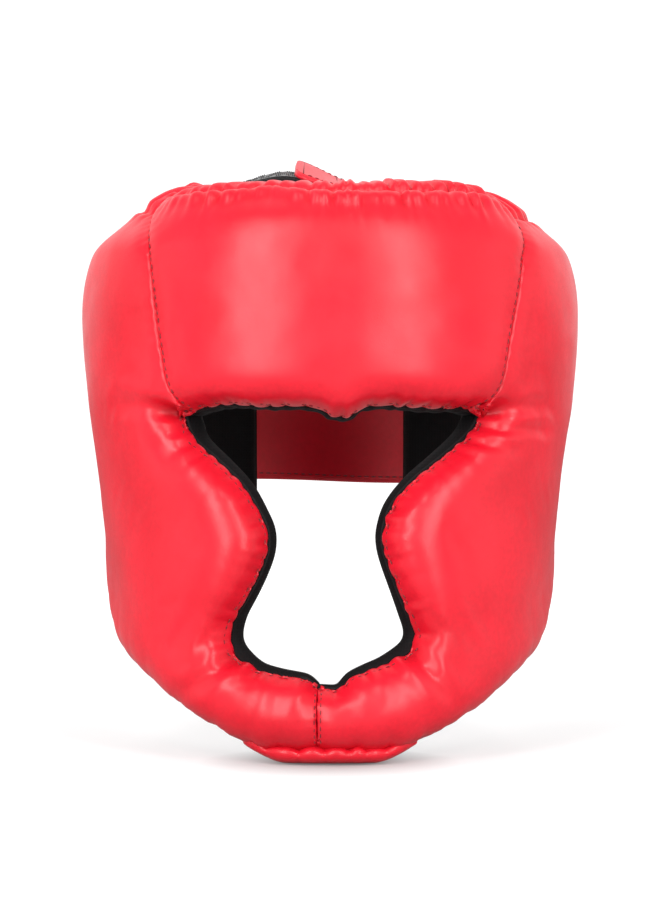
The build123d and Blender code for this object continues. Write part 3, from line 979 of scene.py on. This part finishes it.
# ---------------------------------------------------------------- thread and bands
class Surface:
    """The finished leather, for laying things on it."""

    def __init__(self, objects):
        verts, polys = [], []
        for o in objects:
            first = len(verts)
            verts += [v.co.copy() for v in o.data.vertices]
            polys += [[i + first for i in p.vertices] for p in o.data.polygons]
        self.tree = BVHTree.FromPolygons(verts, polys)

    def lay(self, pts, out):
        """Points in millimetres moved along out, towards the head, until they are on the leather."""
        pts, out = np.asarray(pts), np.asarray(out)
        drop, normals = [], []
        for p, n in zip(pts, out):
            n = Vector(n).normalized()
            hit = self.tree.ray_cast(Vector(p) * MM + n * 0.02, -n, 0.045)
            if hit[0] is None:
                hit = self.tree.find_nearest(Vector(p) * MM)
            drop.append((hit[0] / MM - Vector(p)).dot(n))
            normals.append(hit[1] if hit[1].dot(n) > 0 else -hit[1])
        drop = np.pad(drop, 4, mode="edge")
        drop = np.array([np.median(drop[i:i + 9]) for i in range(len(pts))])
        return pts + out * drop[:, None], np.array(normals)


def outward(phi, z):
    """Directions away from the head form's surface."""
    here = place(phi, z, 0.0)
    across = place(phi + 0.01, z, 0.0) - here
    up = place(phi, z - 0.5, 0.0) - here
    n = unit(np.cross(up, across))
    return n * np.sign(np.sum(n * here * [1, 1, 0.001], axis=1, keepdims=True))


def joined(count, sides, first=0, closed=False):
    """Faces between rings of points, one to the next. closed joins the last ring to the first."""
    faces, total = [], count * sides
    for i in range(count if closed else count - 1):
        for k in range(sides):
            a, b = i * sides + k, i * sides + (k + 1) % sides
            faces.append([first + j % total for j in (a, b, b + sides, a + sides)])
    return faces


def tube_mesh(paths, frames, radii, sides=6):
    """Closed round tubes. paths are n by 3 points, frames their normals, radii one per point."""
    verts, faces = [], []
    for path, normal, r in zip(paths, frames, radii):
        tangent = unit(np.gradient(path, axis=0))
        side = unit(np.cross(tangent, normal))
        up = np.cross(side, tangent)
        first, n = len(verts), len(path)
        for i in range(n):
            for k in range(sides):
                a = 2 * pi * k / sides
                verts.append(path[i] + r[i] * (cos(a) * side[i] + sin(a) * up[i]))
        faces += joined(n, sides, first)
        faces.append(tuple(first + k for k in reversed(range(sides))))
        faces.append(tuple(first + (n - 1) * sides + k for k in range(sides)))
    return np.array(verts), faces


def stitches(name, lines, body, slot="seam_thread", length=2.5, gap=1.1, r=0.36, lift=0.24):
    """Thread stitches along lines. Each line is (points, normals) in millimetres."""
    paths, frames, radii = [], [], []
    for pts, normals in lines:
        s = lengths(pts)
        count = max(1, int(s[-1] / (length + gap)))
        pitch = s[-1] / count
        for k in range(count):
            t = np.linspace(0, 1, 6)
            at = k * pitch + gap / 2 + t * (pitch - gap)
            p = np.stack([np.interp(at, s, pts[:, j]) for j in range(3)], axis=1)
            n = np.stack([np.interp(at, s, normals[:, j]) for j in range(3)], axis=1)
            n = unit(n)
            paths.append(p + n * (lift * np.sin(pi * t)[:, None] ** 0.5 * 1.5 - 0.6 * lift - 0.15))
            frames.append(n)
            radii.append(r * (0.6 + 0.4 * np.sin(pi * t)))
    return own(mesh_object(name, *tube_mesh(paths, frames, radii)), body, slot)


def ring_section(half, thick, border=3.2, fold=0.35):
    """Section of a folded and stitched strap, fatter at its edges: (across, through) points round it."""
    ends = half - np.array([0, 0.35 * thick, 0.9 * thick, border - 0.6, border, border + 0.6])
    flat = np.linspace(-half + border + 3, half - border - 3, 9)
    across = np.concatenate([-ends, flat, ends[::-1]])
    d = half - np.abs(across)
    edge = np.sqrt(np.clip(1 - (1 - np.clip(d / (0.9 * thick), 0, 1)) ** 2, 0, 1))
    hem = fold * (swell(d, 1.2, 1.2) - 0.45 * swell(d, border, 0.5))
    t = thick / 2 * (0.25 + 0.75 * edge) + hem * edge * 0.5
    return np.concatenate([np.stack([across, t], 1), np.stack([across[::-1], -t[::-1]], 1)])


def swept(name, rings):
    """A closed mesh from rings of points, in order, with ends filled."""
    n, k = len(rings), len(rings[0])
    faces = joined(n, k)
    half = k // 2
    for base in (0, (n - 1) * k):
        for j in range(half - 1):
            faces.append((base + j, base + j + 1, base + k - 2 - j, base + k - 1 - j))
    return mesh_object(name, np.vstack(rings), faces)


def corner_inset(s, total, r_start, r_end):
    """How far a band's sides move in near its ends, for rounded corners."""
    inset = 0.0
    for d, r in ((s, r_start), (total - s, r_end)):
        if r and d < r:
            inset = max(inset, r - np.sqrt(max(r * r - (r - d) ** 2, 0)))
    return inset


def sag(phi, drop):
    """Height change of a band that hangs lower towards the wearer's left."""
    return -drop * np.tanh(3.2 * np.sin(phi))


def form_band(
    name, phis, z_low, z_high, lift, thick, corners=(0, 0), taper=0.0, wave=0.0, drop=0.0, **section
):
    """A band round the head form at a lift, from one angle to another."""
    s = lengths(place(phis, np.full(len(phis), (z_low + z_high) / 2), 0.0, lift))
    rings = []
    for phi, at in zip(phis, s):
        inset = corner_inset(at, s[-1], *corners) + taper * (at / s[-1]) ** 2
        half = (z_high - z_low) / 2 - inset
        sec = ring_section(half, thick, **section)
        z = (z_low + z_high) / 2 + sec[:, 0] + sag(phi, drop)
        ripple = wave * np.sin(at / 21.0 + z / 17.0) * np.sin(z / 23.0 + 1.0)
        rings.append(place(np.full(len(z), phi), z, 0.0, lift + thick / 2 + sec[:, 1] + ripple))
    return swept(name, rings)


def leaned(pts, lean):
    """A crown band's points, its back edge raised and its front edge lowered. lean is (X values, slopes)."""
    pts = np.array(pts, float)
    pts[:, 2] += pts[:, 1] * np.interp(pts[:, 0], *lean)
    return pts


def path_band(name, path, half, thick, corners=(0, 0), wave=0.0, lean=((0,), (0,)), **section):
    """A band along a path in X and Z, with its width along Y."""
    tangent, s = unit(np.gradient(path, axis=0)), lengths(path)
    rings = []
    for (x, z), (tx, tz), at in zip(path, tangent, s):
        sec = ring_section(half - corner_inset(at, s[-1], *corners), thick, **section)
        v = sec[:, 1] + wave * np.sin(at / 9.0 + sec[:, 0] / 11.0)
        rings.append(leaned(np.stack([x - tz * v, sec[:, 0], z + tx * v], axis=1), lean))
    return swept(name, rings)


leather = Surface(covers)


def on_leather(line, level=False):
    """A flat line laid on the leather, with its normals. level lays it straight towards the head's axis."""
    phi, z = line[:, 0] / R0, z_of_w(line[:, 1])
    out = np.stack([np.sin(phi), -np.cos(phi), 0 * phi], axis=1) if level else outward(phi, z)
    return leather.lay(place(phi, z, 0.0), out)


def offset_line(line, amount):
    """A flat line moved sideways."""
    t = np.gradient(line, axis=0)
    return line + amount * unit(np.stack([t[:, 1], -t[:, 0]], axis=1))


for side, name in SIDES:
    line = resample(seams[side][2:-1], 1.2)
    seam = stitches(name + "_temple_stitching", [on_leather(offset_line(line, -side * 1.4))], SHELL)
    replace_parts(seam, name + "_temple_seam")
chin_run = resample(np.array([to_flat(phi_at_x(CHIN_X, z), z) for z in (32.0, 9.5)]), 1.0)
runs = [on_leather(offset_line(chin_run, d), True) for d in (-1.3, 1.3)]
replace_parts(stitches("chin_stitching", runs, SHELL, length=2.2, r=0.3), "chin_seam")

edge_lines = []
for side in (1, -1):
    opening = resample(flat_outline(OPENING[side], 1.2), 1.2)
    edge_lines.append(on_leather(offset_line(opening, -0.7 * side), True))
edge_lines.append(on_leather(offset_line(resample(brow[1:-1], 1.2), -0.7), True))
stitches("opening_stitching", edge_lines, SHELL, length=2.0, gap=1.3, r=0.3, lift=0.2)

# black cord where the leather and the lining meet, all round the face opening
loop = np.vstack([
    flat_outline(BROW, 1.5)[:-1], flat_outline(OPENING[1], 1.5)[:-1],
    flat_outline(OPENING[-1], 1.5)[::-1][:-1],
])
loop = np.vstack([loop, loop[:1]])
for _ in range(2):
    loop[1:-1] = (loop[:-2] + 2 * loop[1:-1] + loop[2:]) / 4
phi, z = loop[:, 0] / R0, z_of_w(loop[:, 1])
cord = tube_mesh([place(phi, z, 0.60)], [outward(phi, z)], [np.full(len(loop), 0.9)], 10)
own(mesh_object("face_opening_cord", *cord), SHELL, "black_binding", "face_opening_binding")


# ---------------------------------------------------------------- chin strip
def chin_strip():
    """The gathered leather roll under the chin that the gear stands on."""
    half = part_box("chin_gusset")[1].x / MM
    folds = Gathers(0.6, 1.4, 13, 400)
    rings = []
    for x in np.linspace(-half, half, 90):
        rise = float(np.mean(np.interp(abs(x) + np.linspace(-6, 6, 9), JAW[:, 0], JAW[:, 1]))) - 0.3
        rise = max(rise, 0.0)
        end = np.sqrt(max(1 - (abs(x) / (half + 0.01)) ** 4, 0.0))
        fold = float(folds(x + 200)) * 2.6
        height = 3.0 + 5.8 * end + 0.8 * fold
        ring = []
        for a in np.linspace(0, 2 * pi, 30, endpoint=False):
            c, t = cos(a), sin(a)
            through = 0.57 - (0.10 + 0.30 * end) * np.sign(c) * abs(c) ** 0.8
            z = rise + height / 2 + (height / 2 - 0.1) * np.sign(t) * abs(t) ** 0.9
            bulge = fold * max(c, 0) * (0.4 + 0.6 * abs(t))
            phi = float(phi_at_x(x, max(z, 0), 0.2))
            ring.append(place(phi, max(z, 0.0), through, bulge))
        rings.append(np.array(ring))
    return swept("chin_strip", rings)


own(chin_strip(), SHELL, "red_leather", "chin_gusset")


# ---------------------------------------------------------------- ear openings
def ear_sleeve(side, name):
    """A rolled rim outside, a sleeve through the pad and a rolled rim inside."""
    cy, cz, ry, rz = ear_ellipse(name)
    profile = [
        (3.2, 0.15), (2.9, 0.09), (1.7, 0.05), (0.3, 0.045), (-0.9, 0.07), (-1.6, 0.12), (-1.9, 0.25),
        (-1.9, 0.5), (-1.9, 0.8), (-1.6, 0.96), (-0.9, 1.02), (0.3, 1.04), (1.7, 1.04), (2.9, 1.02),
        (3.0, 0.99), (1.0, 0.93), (-0.3, 0.8), (-0.3, 0.5), (-0.3, 0.28), (1.0, 0.18),
    ]
    count = 72
    pts = []
    for i in range(count):
        a = 2 * pi * i / count
        ripple = 0.18 * sin(9 * a) + 0.12 * sin(17 * a + 1)
        for e, depth in profile:
            y, z = cy + (ry + e + ripple) * cos(a), cz + (rz + e + ripple) * sin(a)
            pts.append((side * float(across_at(z, depth, y=y)), y, z))
    sleeve = mesh_object(name + "_ear_sleeve", pts, joined(count, len(profile), closed=True))
    own(sleeve, SHELL, "black_binding", name + "_ear_binding")
    ring = []
    for a in np.linspace(0, 2 * pi, 120):
        y, z = cy + (ry + 5.2) * cos(a), cz + (rz + 5.2) * sin(a)
        ring.append((side * float(across_at(z, 0.0, y=y)), y, z))
    ring = np.array(ring)
    out = outward(np.arctan2(ring[:, 0], -ring[:, 1]), ring[:, 2])
    stitches(name + "_ear_stitching", [leather.lay(ring, out)], SHELL, length=2.2)


# ---------------------------------------------------------------- crown binding
def crown_tape():
    """The black tape inside the gathered crown edge."""
    low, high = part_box("crown_binding")
    reach = float(phi_at_y(high.y / MM, TOP, 1.0))
    rings = []
    for phi in np.linspace(-reach, reach, 200):
        top = TOP + float(crown_height(phi)) + 0.7 + 0.5 * float(crown_gathers(phi * R0 + pi * R0))
        bottom = low.z / MM
        ring = []
        section = (
            (bottom, 1.0), (bottom + 3, 1.0), (top - 4, 1.0), (top - 1.3, 1.02), (top - 0.2, 0.98),
            (top, 0.9), (top - 0.3, 0.82), (top - 1.3, 0.79), (top - 4, 0.86), (bottom + 3, 0.95),
            (bottom, 0.96),
        )
        for z, depth in section:
            r = radius(phi, min(z, TOP), depth)
            ring.append((r * sin(phi), -r * cos(phi), z))
        rings.append(np.array(ring))
    n, k = len(rings), len(rings[0])
    faces = joined(n, k) + [tuple(range(k)), tuple(reversed(range((n - 1) * k, n * k)))]
    own(mesh_object("crown_tape", np.vstack(rings), faces), SHELL, "black_binding", "crown_binding")


for side, name in SIDES:
    ear_sleeve(side, name)
crown_tape()


# ---------------------------------------------------------------- flex seams
def flex_band(side, name, depths, thick, z_span, half, slot):
    """A strip over a flex seam, left in place without a body. depths are at its middle and at its edges."""
    rings = []
    for z in np.linspace(*z_span, 60):
        ring = []
        t_end = min((z - z_span[0]) / 5, (z_span[1] - z) / 5, 1)
        width = half * (0.55 + 0.45 * np.sqrt(max(1 - (1 - t_end) ** 2, 0)))
        us = np.linspace(-1, 1, 17)
        middle = depths[0] + (depths[1] - depths[0]) * us**2
        rim = thick / 2 * np.sqrt(np.clip(1 - np.abs(us) ** 8, 0, 1)) + 0.08
        for sign, order in ((1, range(17)), (-1, reversed(range(17)))):
            for i in order:
                phi = side * float(phi_at_y(FLEX_Y + us[i] * width, z, middle[i]))
                ring.append(place(phi, z, middle[i], sign * rim[i]))
        rings.append(np.array(ring))
    band = own(swept(name, rings), None, slot)
    start, end = ((0, (FLEX_Y + t * half * 0.8) * MM, 0.18) for t in (-1, 1))
    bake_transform(band)
    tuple(start)
    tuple(end)


FLEX_LOW, FLEX_HIGH = 119.5, 245.0
for side, name in SIDES:
    flex_band(side, name + "_flex_leather", (0.10, 0.025), 1.2, (FLEX_LOW, FLEX_HIGH), 9.0, "red_leather")
    flex_band(side, name + "_flex_lining", (0.99, 1.02), 1.0, (FLEX_LOW, 238.0), 8.0, "black_lining")
    for edge, offset, body in (("front", -7.2, SHELL), ("rear", 7.2, name + "_wing")):
        zs = np.linspace(FLEX_LOW + 4, FLEX_HIGH - 4, 110)
        phi = side * phi_at_y(FLEX_Y + offset, zs, 0.03)
        run = (place(phi, zs, 0.033, 0.6), outward(phi, zs))
        stitches(f"{name}_flex_stitching_{edge}", [run], body)


# ---------------------------------------------------------------- rear strap
REAR_Z = 168.0  # the middle of the rear strap


def rear_angle(x):
    """Angle at the back of the form where it is at x, counted through the wearer's left."""
    hw, _, rear = (float(np.interp(REAR_Z, FINE_Z, FORM[k])) for k in range(3))
    y = rear * (1 - (abs(x) / hw) ** SQUARE) ** (1 / SQUARE)
    a = np.arctan2(x, -y)
    return a if a > 0 else a + 2 * pi


def rear_phis(x, y, count):
    """Angles across the back, from X on the wearer's right to Y on their left, both in metres."""
    return np.linspace(rear_angle(x / MM), float(phi_at_y(y / MM, REAR_Z)), count)


STRAP_SHAPE = {"corners": (4, 16), "taper": 5, "drop": 2.4}
strap_low, strap_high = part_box("rear_strap")
z0, z1 = strap_low.z / MM, strap_high.z / MM
strap_phis = rear_phis(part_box("rear_strap_root")[0].x, strap_low.y, 150)
rear_strap = form_band("rear_strap_leather", strap_phis, z0, z1, 3.3, 2.8, wave=0.35, **STRAP_SHAPE)
own(rear_strap, None, "red_leather", "rear_strap", "rear_strap_root")


def border_run(phis, low, high, lift, inset, corners=(0, 0), taper=0.0, drop=0.0):
    """A stitch line round a band on the form, as points and normals."""
    mid = (low + high) / 2
    s = lengths(place(phis, np.full(len(phis), mid), 0.0, lift))
    line = []
    use = [i for i in range(len(phis)) if inset <= s[i] <= s[-1] - inset]
    for sign, order in ((1, use), (-1, use[::-1])):
        for i in order:
            move = corner_inset(s[i] - inset, s[-1] - 2 * inset, *[max(c - inset, 0) for c in corners])
            move += taper * (s[i] / s[-1]) ** 2
            line.append((phis[i], mid + sign * ((high - low) / 2 - inset - move) + sag(phis[i], drop)))
    line.append(line[0])
    line = np.array(line)
    dense = []
    for a, b in zip(line[:-1], line[1:]):
        steps = max(1, int(np.hypot((b[0] - a[0]) * R0, b[1] - a[1]) / 1.5))
        dense += [a + (b - a) * t / steps for t in range(steps)]
    dense = np.array(dense + [line[-1]])
    return place(dense[:, 0], dense[:, 1], 0.0, lift), outward(dense[:, 0], dense[:, 1])


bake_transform(rear_strap)
for name, lift, facing in (("rear_strap_stitching", 6.05, 1), ("rear_strap_inner_stitching", 3.35, -1)):
    pts, out = border_run(strap_phis, z0, z1, lift, 3.2, **STRAP_SHAPE)
    sewn = stitches(name, [(pts, out * facing)], None, length=2.6)
    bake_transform(sewn)


def box_stitch(phi_a, phi_b, z_low, z_high, lift):
    """A sewn rectangle with a cross in it."""
    corners = [(phi_a, z_low), (phi_b, z_low), (phi_b, z_high), (phi_a, z_high)]
    runs = []
    for a, b in ((0, 1), (1, 2), (2, 3), (3, 0), (0, 2), (1, 3)):
        t = np.linspace(0, 1, 60)[:, None]
        line = np.array(corners[a]) * (1 - t) + np.array(corners[b]) * t
        runs.append((place(line[:, 0], line[:, 1], 0.0, lift), outward(line[:, 0], line[:, 1])))
    return runs


root_box = box_stitch(strap_phis[0] - 0.05, rear_angle(-79.5), z0 + 10, z1 - 10, 6.15)
stitches("rear_root_stitching", root_box, "right_wing")


# ---------------------------------------------------------------- hook and loop
def nap(name, pts, normals, height, r, hooked, body, slot):
    """Little hooks or loops standing on a surface."""
    paths, frames, radii = [], [], []
    for p, n in zip(pts, normals):
        a = rng.uniform(0, 2 * pi)
        side = np.cross(n, (cos(a), 0.3, sin(a)))
        side /= max(np.linalg.norm(side), 1e-6)
        if hooked:
            shape = ((0, -0.2), (0.02, 0.55), (0.2, 0.95), (0.5, 1.0), (0.72, 0.72))
        else:
            shape = ((-0.6, -0.15), (-0.45, 0.75), (0, 1.0), (0.45, 0.7), (0.6, -0.15))
        size = height * rng.uniform(0.75, 1.15)
        path = np.array([p + side * u * size + n * v * size for u, v in shape])
        paths.append(path)
        frames.append(np.tile(np.cross(side, n), (len(path), 1)))
        radii.append(np.full(len(path), r))
    own(mesh_object(name, *tube_mesh(paths, frames, radii, 4)), body, slot)


def form_grid(phis, z_low, z_high, lift, pitch):
    """Points about pitch apart over a patch of the head form, with directions away from it."""
    s = lengths(place(phis, np.full(len(phis), (z_low + z_high) / 2), 0.0, lift))
    at = np.arange(3, s[-1] - 3, pitch)
    phi, z = np.meshgrid(np.interp(at, s, phis), np.arange(z_low + 3, z_high - 3, pitch))
    phi = phi.ravel() + rng.uniform(-0.3, 0.3, phi.size) * pitch / R0
    z = z.ravel() + rng.uniform(-0.3, 0.3, z.size) * pitch
    return place(phi, z, 0.0, lift), outward(phi, z)


# name, node, number of angles, lift, thickness, 1 if it faces outwards or -1, body, slot
patches = (
    ("rear_hook", "rear_hook_tape", 40, 2.3, 0.9, -1, "rear_closure", "hook_tape"),
    ("rear_pile", "rear_loop_pile", 60, 0.35, 1.0, 1, "left_wing", "loop_pile"),
)
for name, node, count, lift, thick, facing, body, slot in patches:
    corner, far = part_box(node)
    phis, low, high = rear_phis(corner.x, corner.y, count), corner.z / MM, far.z / MM
    ground = form_band(name + "_ground", phis, low, high, lift, thick, (3, 3), border=2.0, fold=0.15)
    own(ground, body, slot, node)
    surface = lift + (thick if facing > 0 else 0)
    pts, out = form_grid(phis, low, high, surface, 1.7)
    nap(name + "_nap", pts, out * facing, 0.75, 0.13, facing < 0, body, slot)
    pts, out = border_run(phis, low, high, surface, 2.0)
    stitches(name + "_stitching", [(pts, out * facing)], body, "black_binding", 1.9, 0.9, 0.25, 0.2)


# ---------------------------------------------------------------- crown strap and tab
def strap_line(path, y, lift):
    """A line along a crown band at one Y, on its upper (lift > 0) or lower face."""
    t = unit(np.gradient(path, axis=0))
    up = np.stack([-t[:, 1], np.zeros(len(t)), t[:, 0]], axis=1)
    line = np.stack([path[:, 0], np.full(len(path), y), path[:, 1]], axis=1)
    return line + up * lift, up * np.sign(lift)


def across_line(path, at, half, lift):
    """A line across a crown band at a distance along it."""
    i = int(np.clip(np.searchsorted(lengths(path), at), 1, len(path) - 2))
    t = path[i + 1] - path[i - 1]
    t /= np.linalg.norm(t)
    up = np.array([-t[1], 0, t[0]])
    ys = np.linspace(-half, half, 30)
    pts = np.stack([np.full(30, path[i][0]), ys, np.full(30, path[i][1])], axis=1) + up * lift
    return pts, np.tile(up * np.sign(lift), (30, 1))


crown_half = (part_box("crown_strap")[1].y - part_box("crown_strap")[0].y) / 2 / MM
tab_half = (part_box("crown_tab")[1].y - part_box("crown_tab")[0].y) / 2 / MM
strap_path = smooth_curve([
    (-16.5, 276), (-9, 273), (0, 269.4), (9, 266.4), (16, 264.4), (26, 262.4), (40, 261), (54, 260.8),
    (64, 261.2), (72, 259.6),
], 0.9)
tab_path = smooth_curve([
    (-72, 260.5), (-64, 262.8), (-56, 264), (-44, 266.4), (-32, 269.8), (-22, 271.4), (-12, 270.2),
    (-2, 267.2), (6, 264.4), (14, 262.6),
], 0.9)
STRAP_LEAN = ((-20, -5, 20, 50), (0.27, 0.25, 0.12, 0))
TAB_LEAN = ((-62, -35, -10, 14), (0, 0.15, 0.18, 0.12))
STRAP_THICK, TAB_THICK = 3.0, 2.2
# name, path, lean, half width, thickness, corners, body, slot, thread, where rows cross it, side
crown_bands = (
    ("crown_strap", strap_path, STRAP_LEAN, crown_half, STRAP_THICK, (7, 0), "crown_flap",
     "red_leather", "seam_thread", (3.2, 20.0), 1),
    ("crown_tab", tab_path, TAB_LEAN, tab_half, TAB_THICK, (0, 5), "crown_tongue",
     "black_binding", "black_binding", (20.0, 92.0), -1),
)
for name, path, lean, half, thick, corners, body, slot, thread, rows, side in crown_bands:
    band = path_band(name + "_band", path, half, thick, corners, 0.25, lean, border=3.0, fold=0.3)
    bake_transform(own(band, None, slot, name, name + "_root"))
    runs = []
    for lift in (thick / 2 - 0.05, -thick / 2 + 0.05):
        for y in (-half + 3, half - 3):
            runs.append(strap_line(path[6:-6], y, lift))
        for at in rows:
            runs.append(across_line(path, at, half - 3.2, lift))
    runs = [(leaned(pts, lean), out) for pts, out in runs]
    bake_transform(stitches(name + "_stitching", runs, None, thread, 2.2))


def path_patch(name, node, path, lean, half, band_thick, facing, body, slot):
    """Hook or loop tape on the upper face (facing 1) or lower face (-1) of a crown band."""
    thick = 0.8
    low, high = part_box(node)
    part = path[(path[:, 0] >= low.x / MM) & (path[:, 0] <= high.x / MM)]
    t = unit(np.gradient(part, axis=0))
    up = np.stack([-t[:, 1], t[:, 0]], axis=1) * (1 if t[0, 0] > 0 else -1)
    middle = part + up * (facing * (band_thick / 2 + 0.3))
    ground = path_band(name + "_ground", middle, half, thick, (2, 2), lean=lean, border=2.0, fold=0.1)
    own(ground, body, slot, node)
    pts, normals = [], []
    for i in range(2, len(part) - 2, 2):
        for y in np.arange(-half + 2.6, half - 2.5, 1.6):
            i = int(np.clip(i + rng.integers(-1, 2), 1, len(part) - 2))
            n = np.array([up[i, 0], 0, up[i, 1]]) * facing
            pts.append(np.array([middle[i, 0], y + rng.uniform(-0.5, 0.5), middle[i, 1]]) + n * thick / 2)
            normals.append(n)
    nap(name + "_nap", leaned(pts, lean), normals, 0.5, 0.13, facing < 0, body, slot)


path_patch(
    "crown_hook", "crown_hook_tape", strap_path, STRAP_LEAN, crown_half - 3.5, STRAP_THICK, -1,
    "crown_flap", "hook_tape",
)
path_patch(
    "crown_pile", "crown_loop_pile", tab_path, TAB_LEAN, tab_half - 3.5, TAB_THICK, 1,
    "crown_tongue", "loop_pile",
)


# ---------------------------------------------------------------- floor, light and camera
def studio():
    """A seamless pale floor and surround, with a contact shadow painted into the floor's glow under the chin,
    tall softboxes beside camera and object, and one overhead.
    """
    floor = bpy.data.meshes.new("floor")
    floor.from_pydata([(-20, -20, 0), (20, -20, 0), (20, 20, 0), (-20, 20, 0)], [], [(0, 1, 2, 3)])
    floor_obj = bpy.data.objects.new("floor", floor)
    bpy.context.scene.collection.objects.link(floor_obj)
    m = Nodes("floor_paper")
    pale = m.mix(m.noise(300), (0.38, 0.38, 0.38), (0.41, 0.41, 0.41))
    away = m.node("ShaderNodeVectorMath", {0: m.coords}, operation="LENGTH").outputs["Value"]
    spot = m.node("ShaderNodeVectorMath", {0: m.coords, 1: (0, -0.1, 0)}, operation="DISTANCE")
    close = spot.outputs["Value"]  # how far a place on the floor is from under the chin
    # the floor glows white for the camera, more so farther out, and the glow is cut down near the chin: a
    # painted contact shadow
    glow_and_painted_shadow = m.math("ADD", m.remap(away, 0.25, 1.3, 0.60, 1.0), m.remap(close, 0.015, 0.06, -0.48, 0))
    seen = m.node("ShaderNodeLightPath").outputs["Is Camera Ray"]
    m.finish(
        Base_Color=pale, Roughness=0.9, Specular_IOR_Level=0.1, Emission_Color=(1.0, 1.0, 1.0),
        Emission_Strength=m.math("MULTIPLY", seen, glow_and_painted_shadow),
    )
    floor.materials.append(m.material)

    world = bpy.data.worlds.new("surround")
    bpy.context.scene.world = world
    world.use_nodes = True
    tree = world.node_tree
    back = tree.nodes["Background"]
    back.inputs["Color"].default_value = (1, 1, 1, 1)
    path = tree.nodes.new("ShaderNodeLightPath")
    mix = tree.nodes.new("ShaderNodeMapRange")
    side = tree.nodes.new("ShaderNodeSeparateXYZ")
    tree.links.new(tree.nodes.new("ShaderNodeTexCoord").outputs["Generated"], side.inputs[0])
    behind = tree.nodes.new("ShaderNodeMapRange")
    for key, value in (("From Min", -0.1), ("From Max", 0.7), ("To Min", 0.12), ("To Max", 0.95)):
        behind.inputs[key].default_value = value
    tree.links.new(side.outputs["Y"], behind.inputs["Value"])
    tree.links.new(behind.outputs["Result"], mix.inputs["To Min"])
    mix.inputs["To Max"].default_value = 1.15
    tree.links.new(path.outputs["Is Camera Ray"], mix.inputs["Value"])
    tree.links.new(mix.outputs["Result"], back.inputs["Strength"])

    target = Vector((0, 0, 0.15))  # the middle of the object, which every light faces
    # name, place, width, height, watts, whether the leather mirrors it
    for name, spot, size, height, power, shine in (
        ("left_softbox", (0.62, -1.32, 0.60), 0.30, 1.9, 18, True),
        ("right_softbox", (-0.58, -1.32, 0.60), 0.30, 1.9, 20, True),
        ("left_side_light", (1.25, -0.30, 0.4), 0.7, 1.2, 9, False),
        ("right_side_light", (-1.25, -0.30, 0.4), 0.7, 1.2, 11, False),
        ("top_light", (0.0, 0.1, 1.3), 1.1, 0.7, 6, False),
    ):
        light = bpy.data.lights.new(name, "AREA")
        light.shape = "RECTANGLE"
        light.size, light.size_y, light.energy = size, height, power
        obj = bpy.data.objects.new(name, light)
        obj.location = spot
        obj.visible_glossy = shine
        obj.rotation_euler = (target - Vector(spot)).to_track_quat("-Z", "Y").to_euler()
        bpy.context.scene.collection.objects.link(obj)


def camera():
    """Level with the middle of the face, straight in front of it."""
    view = bpy.data.cameras.new("camera")
    view.sensor_fit = "VERTICAL"
    view.sensor_height = 36
    view.lens = 2.9856 * view.sensor_height  # a frame 0.435 m high where the camera is 1.3 m away
    obj = bpy.data.objects.new("camera", view)
    obj.location = (0, -1.3, 0.1395)
    obj.rotation_euler = (pi / 2, 0, 0)
    bpy.context.scene.collection.objects.link(obj)
    bpy.context.scene.camera = obj


studio()
camera()
bpy.context.scene.view_settings.view_transform = "Standard"
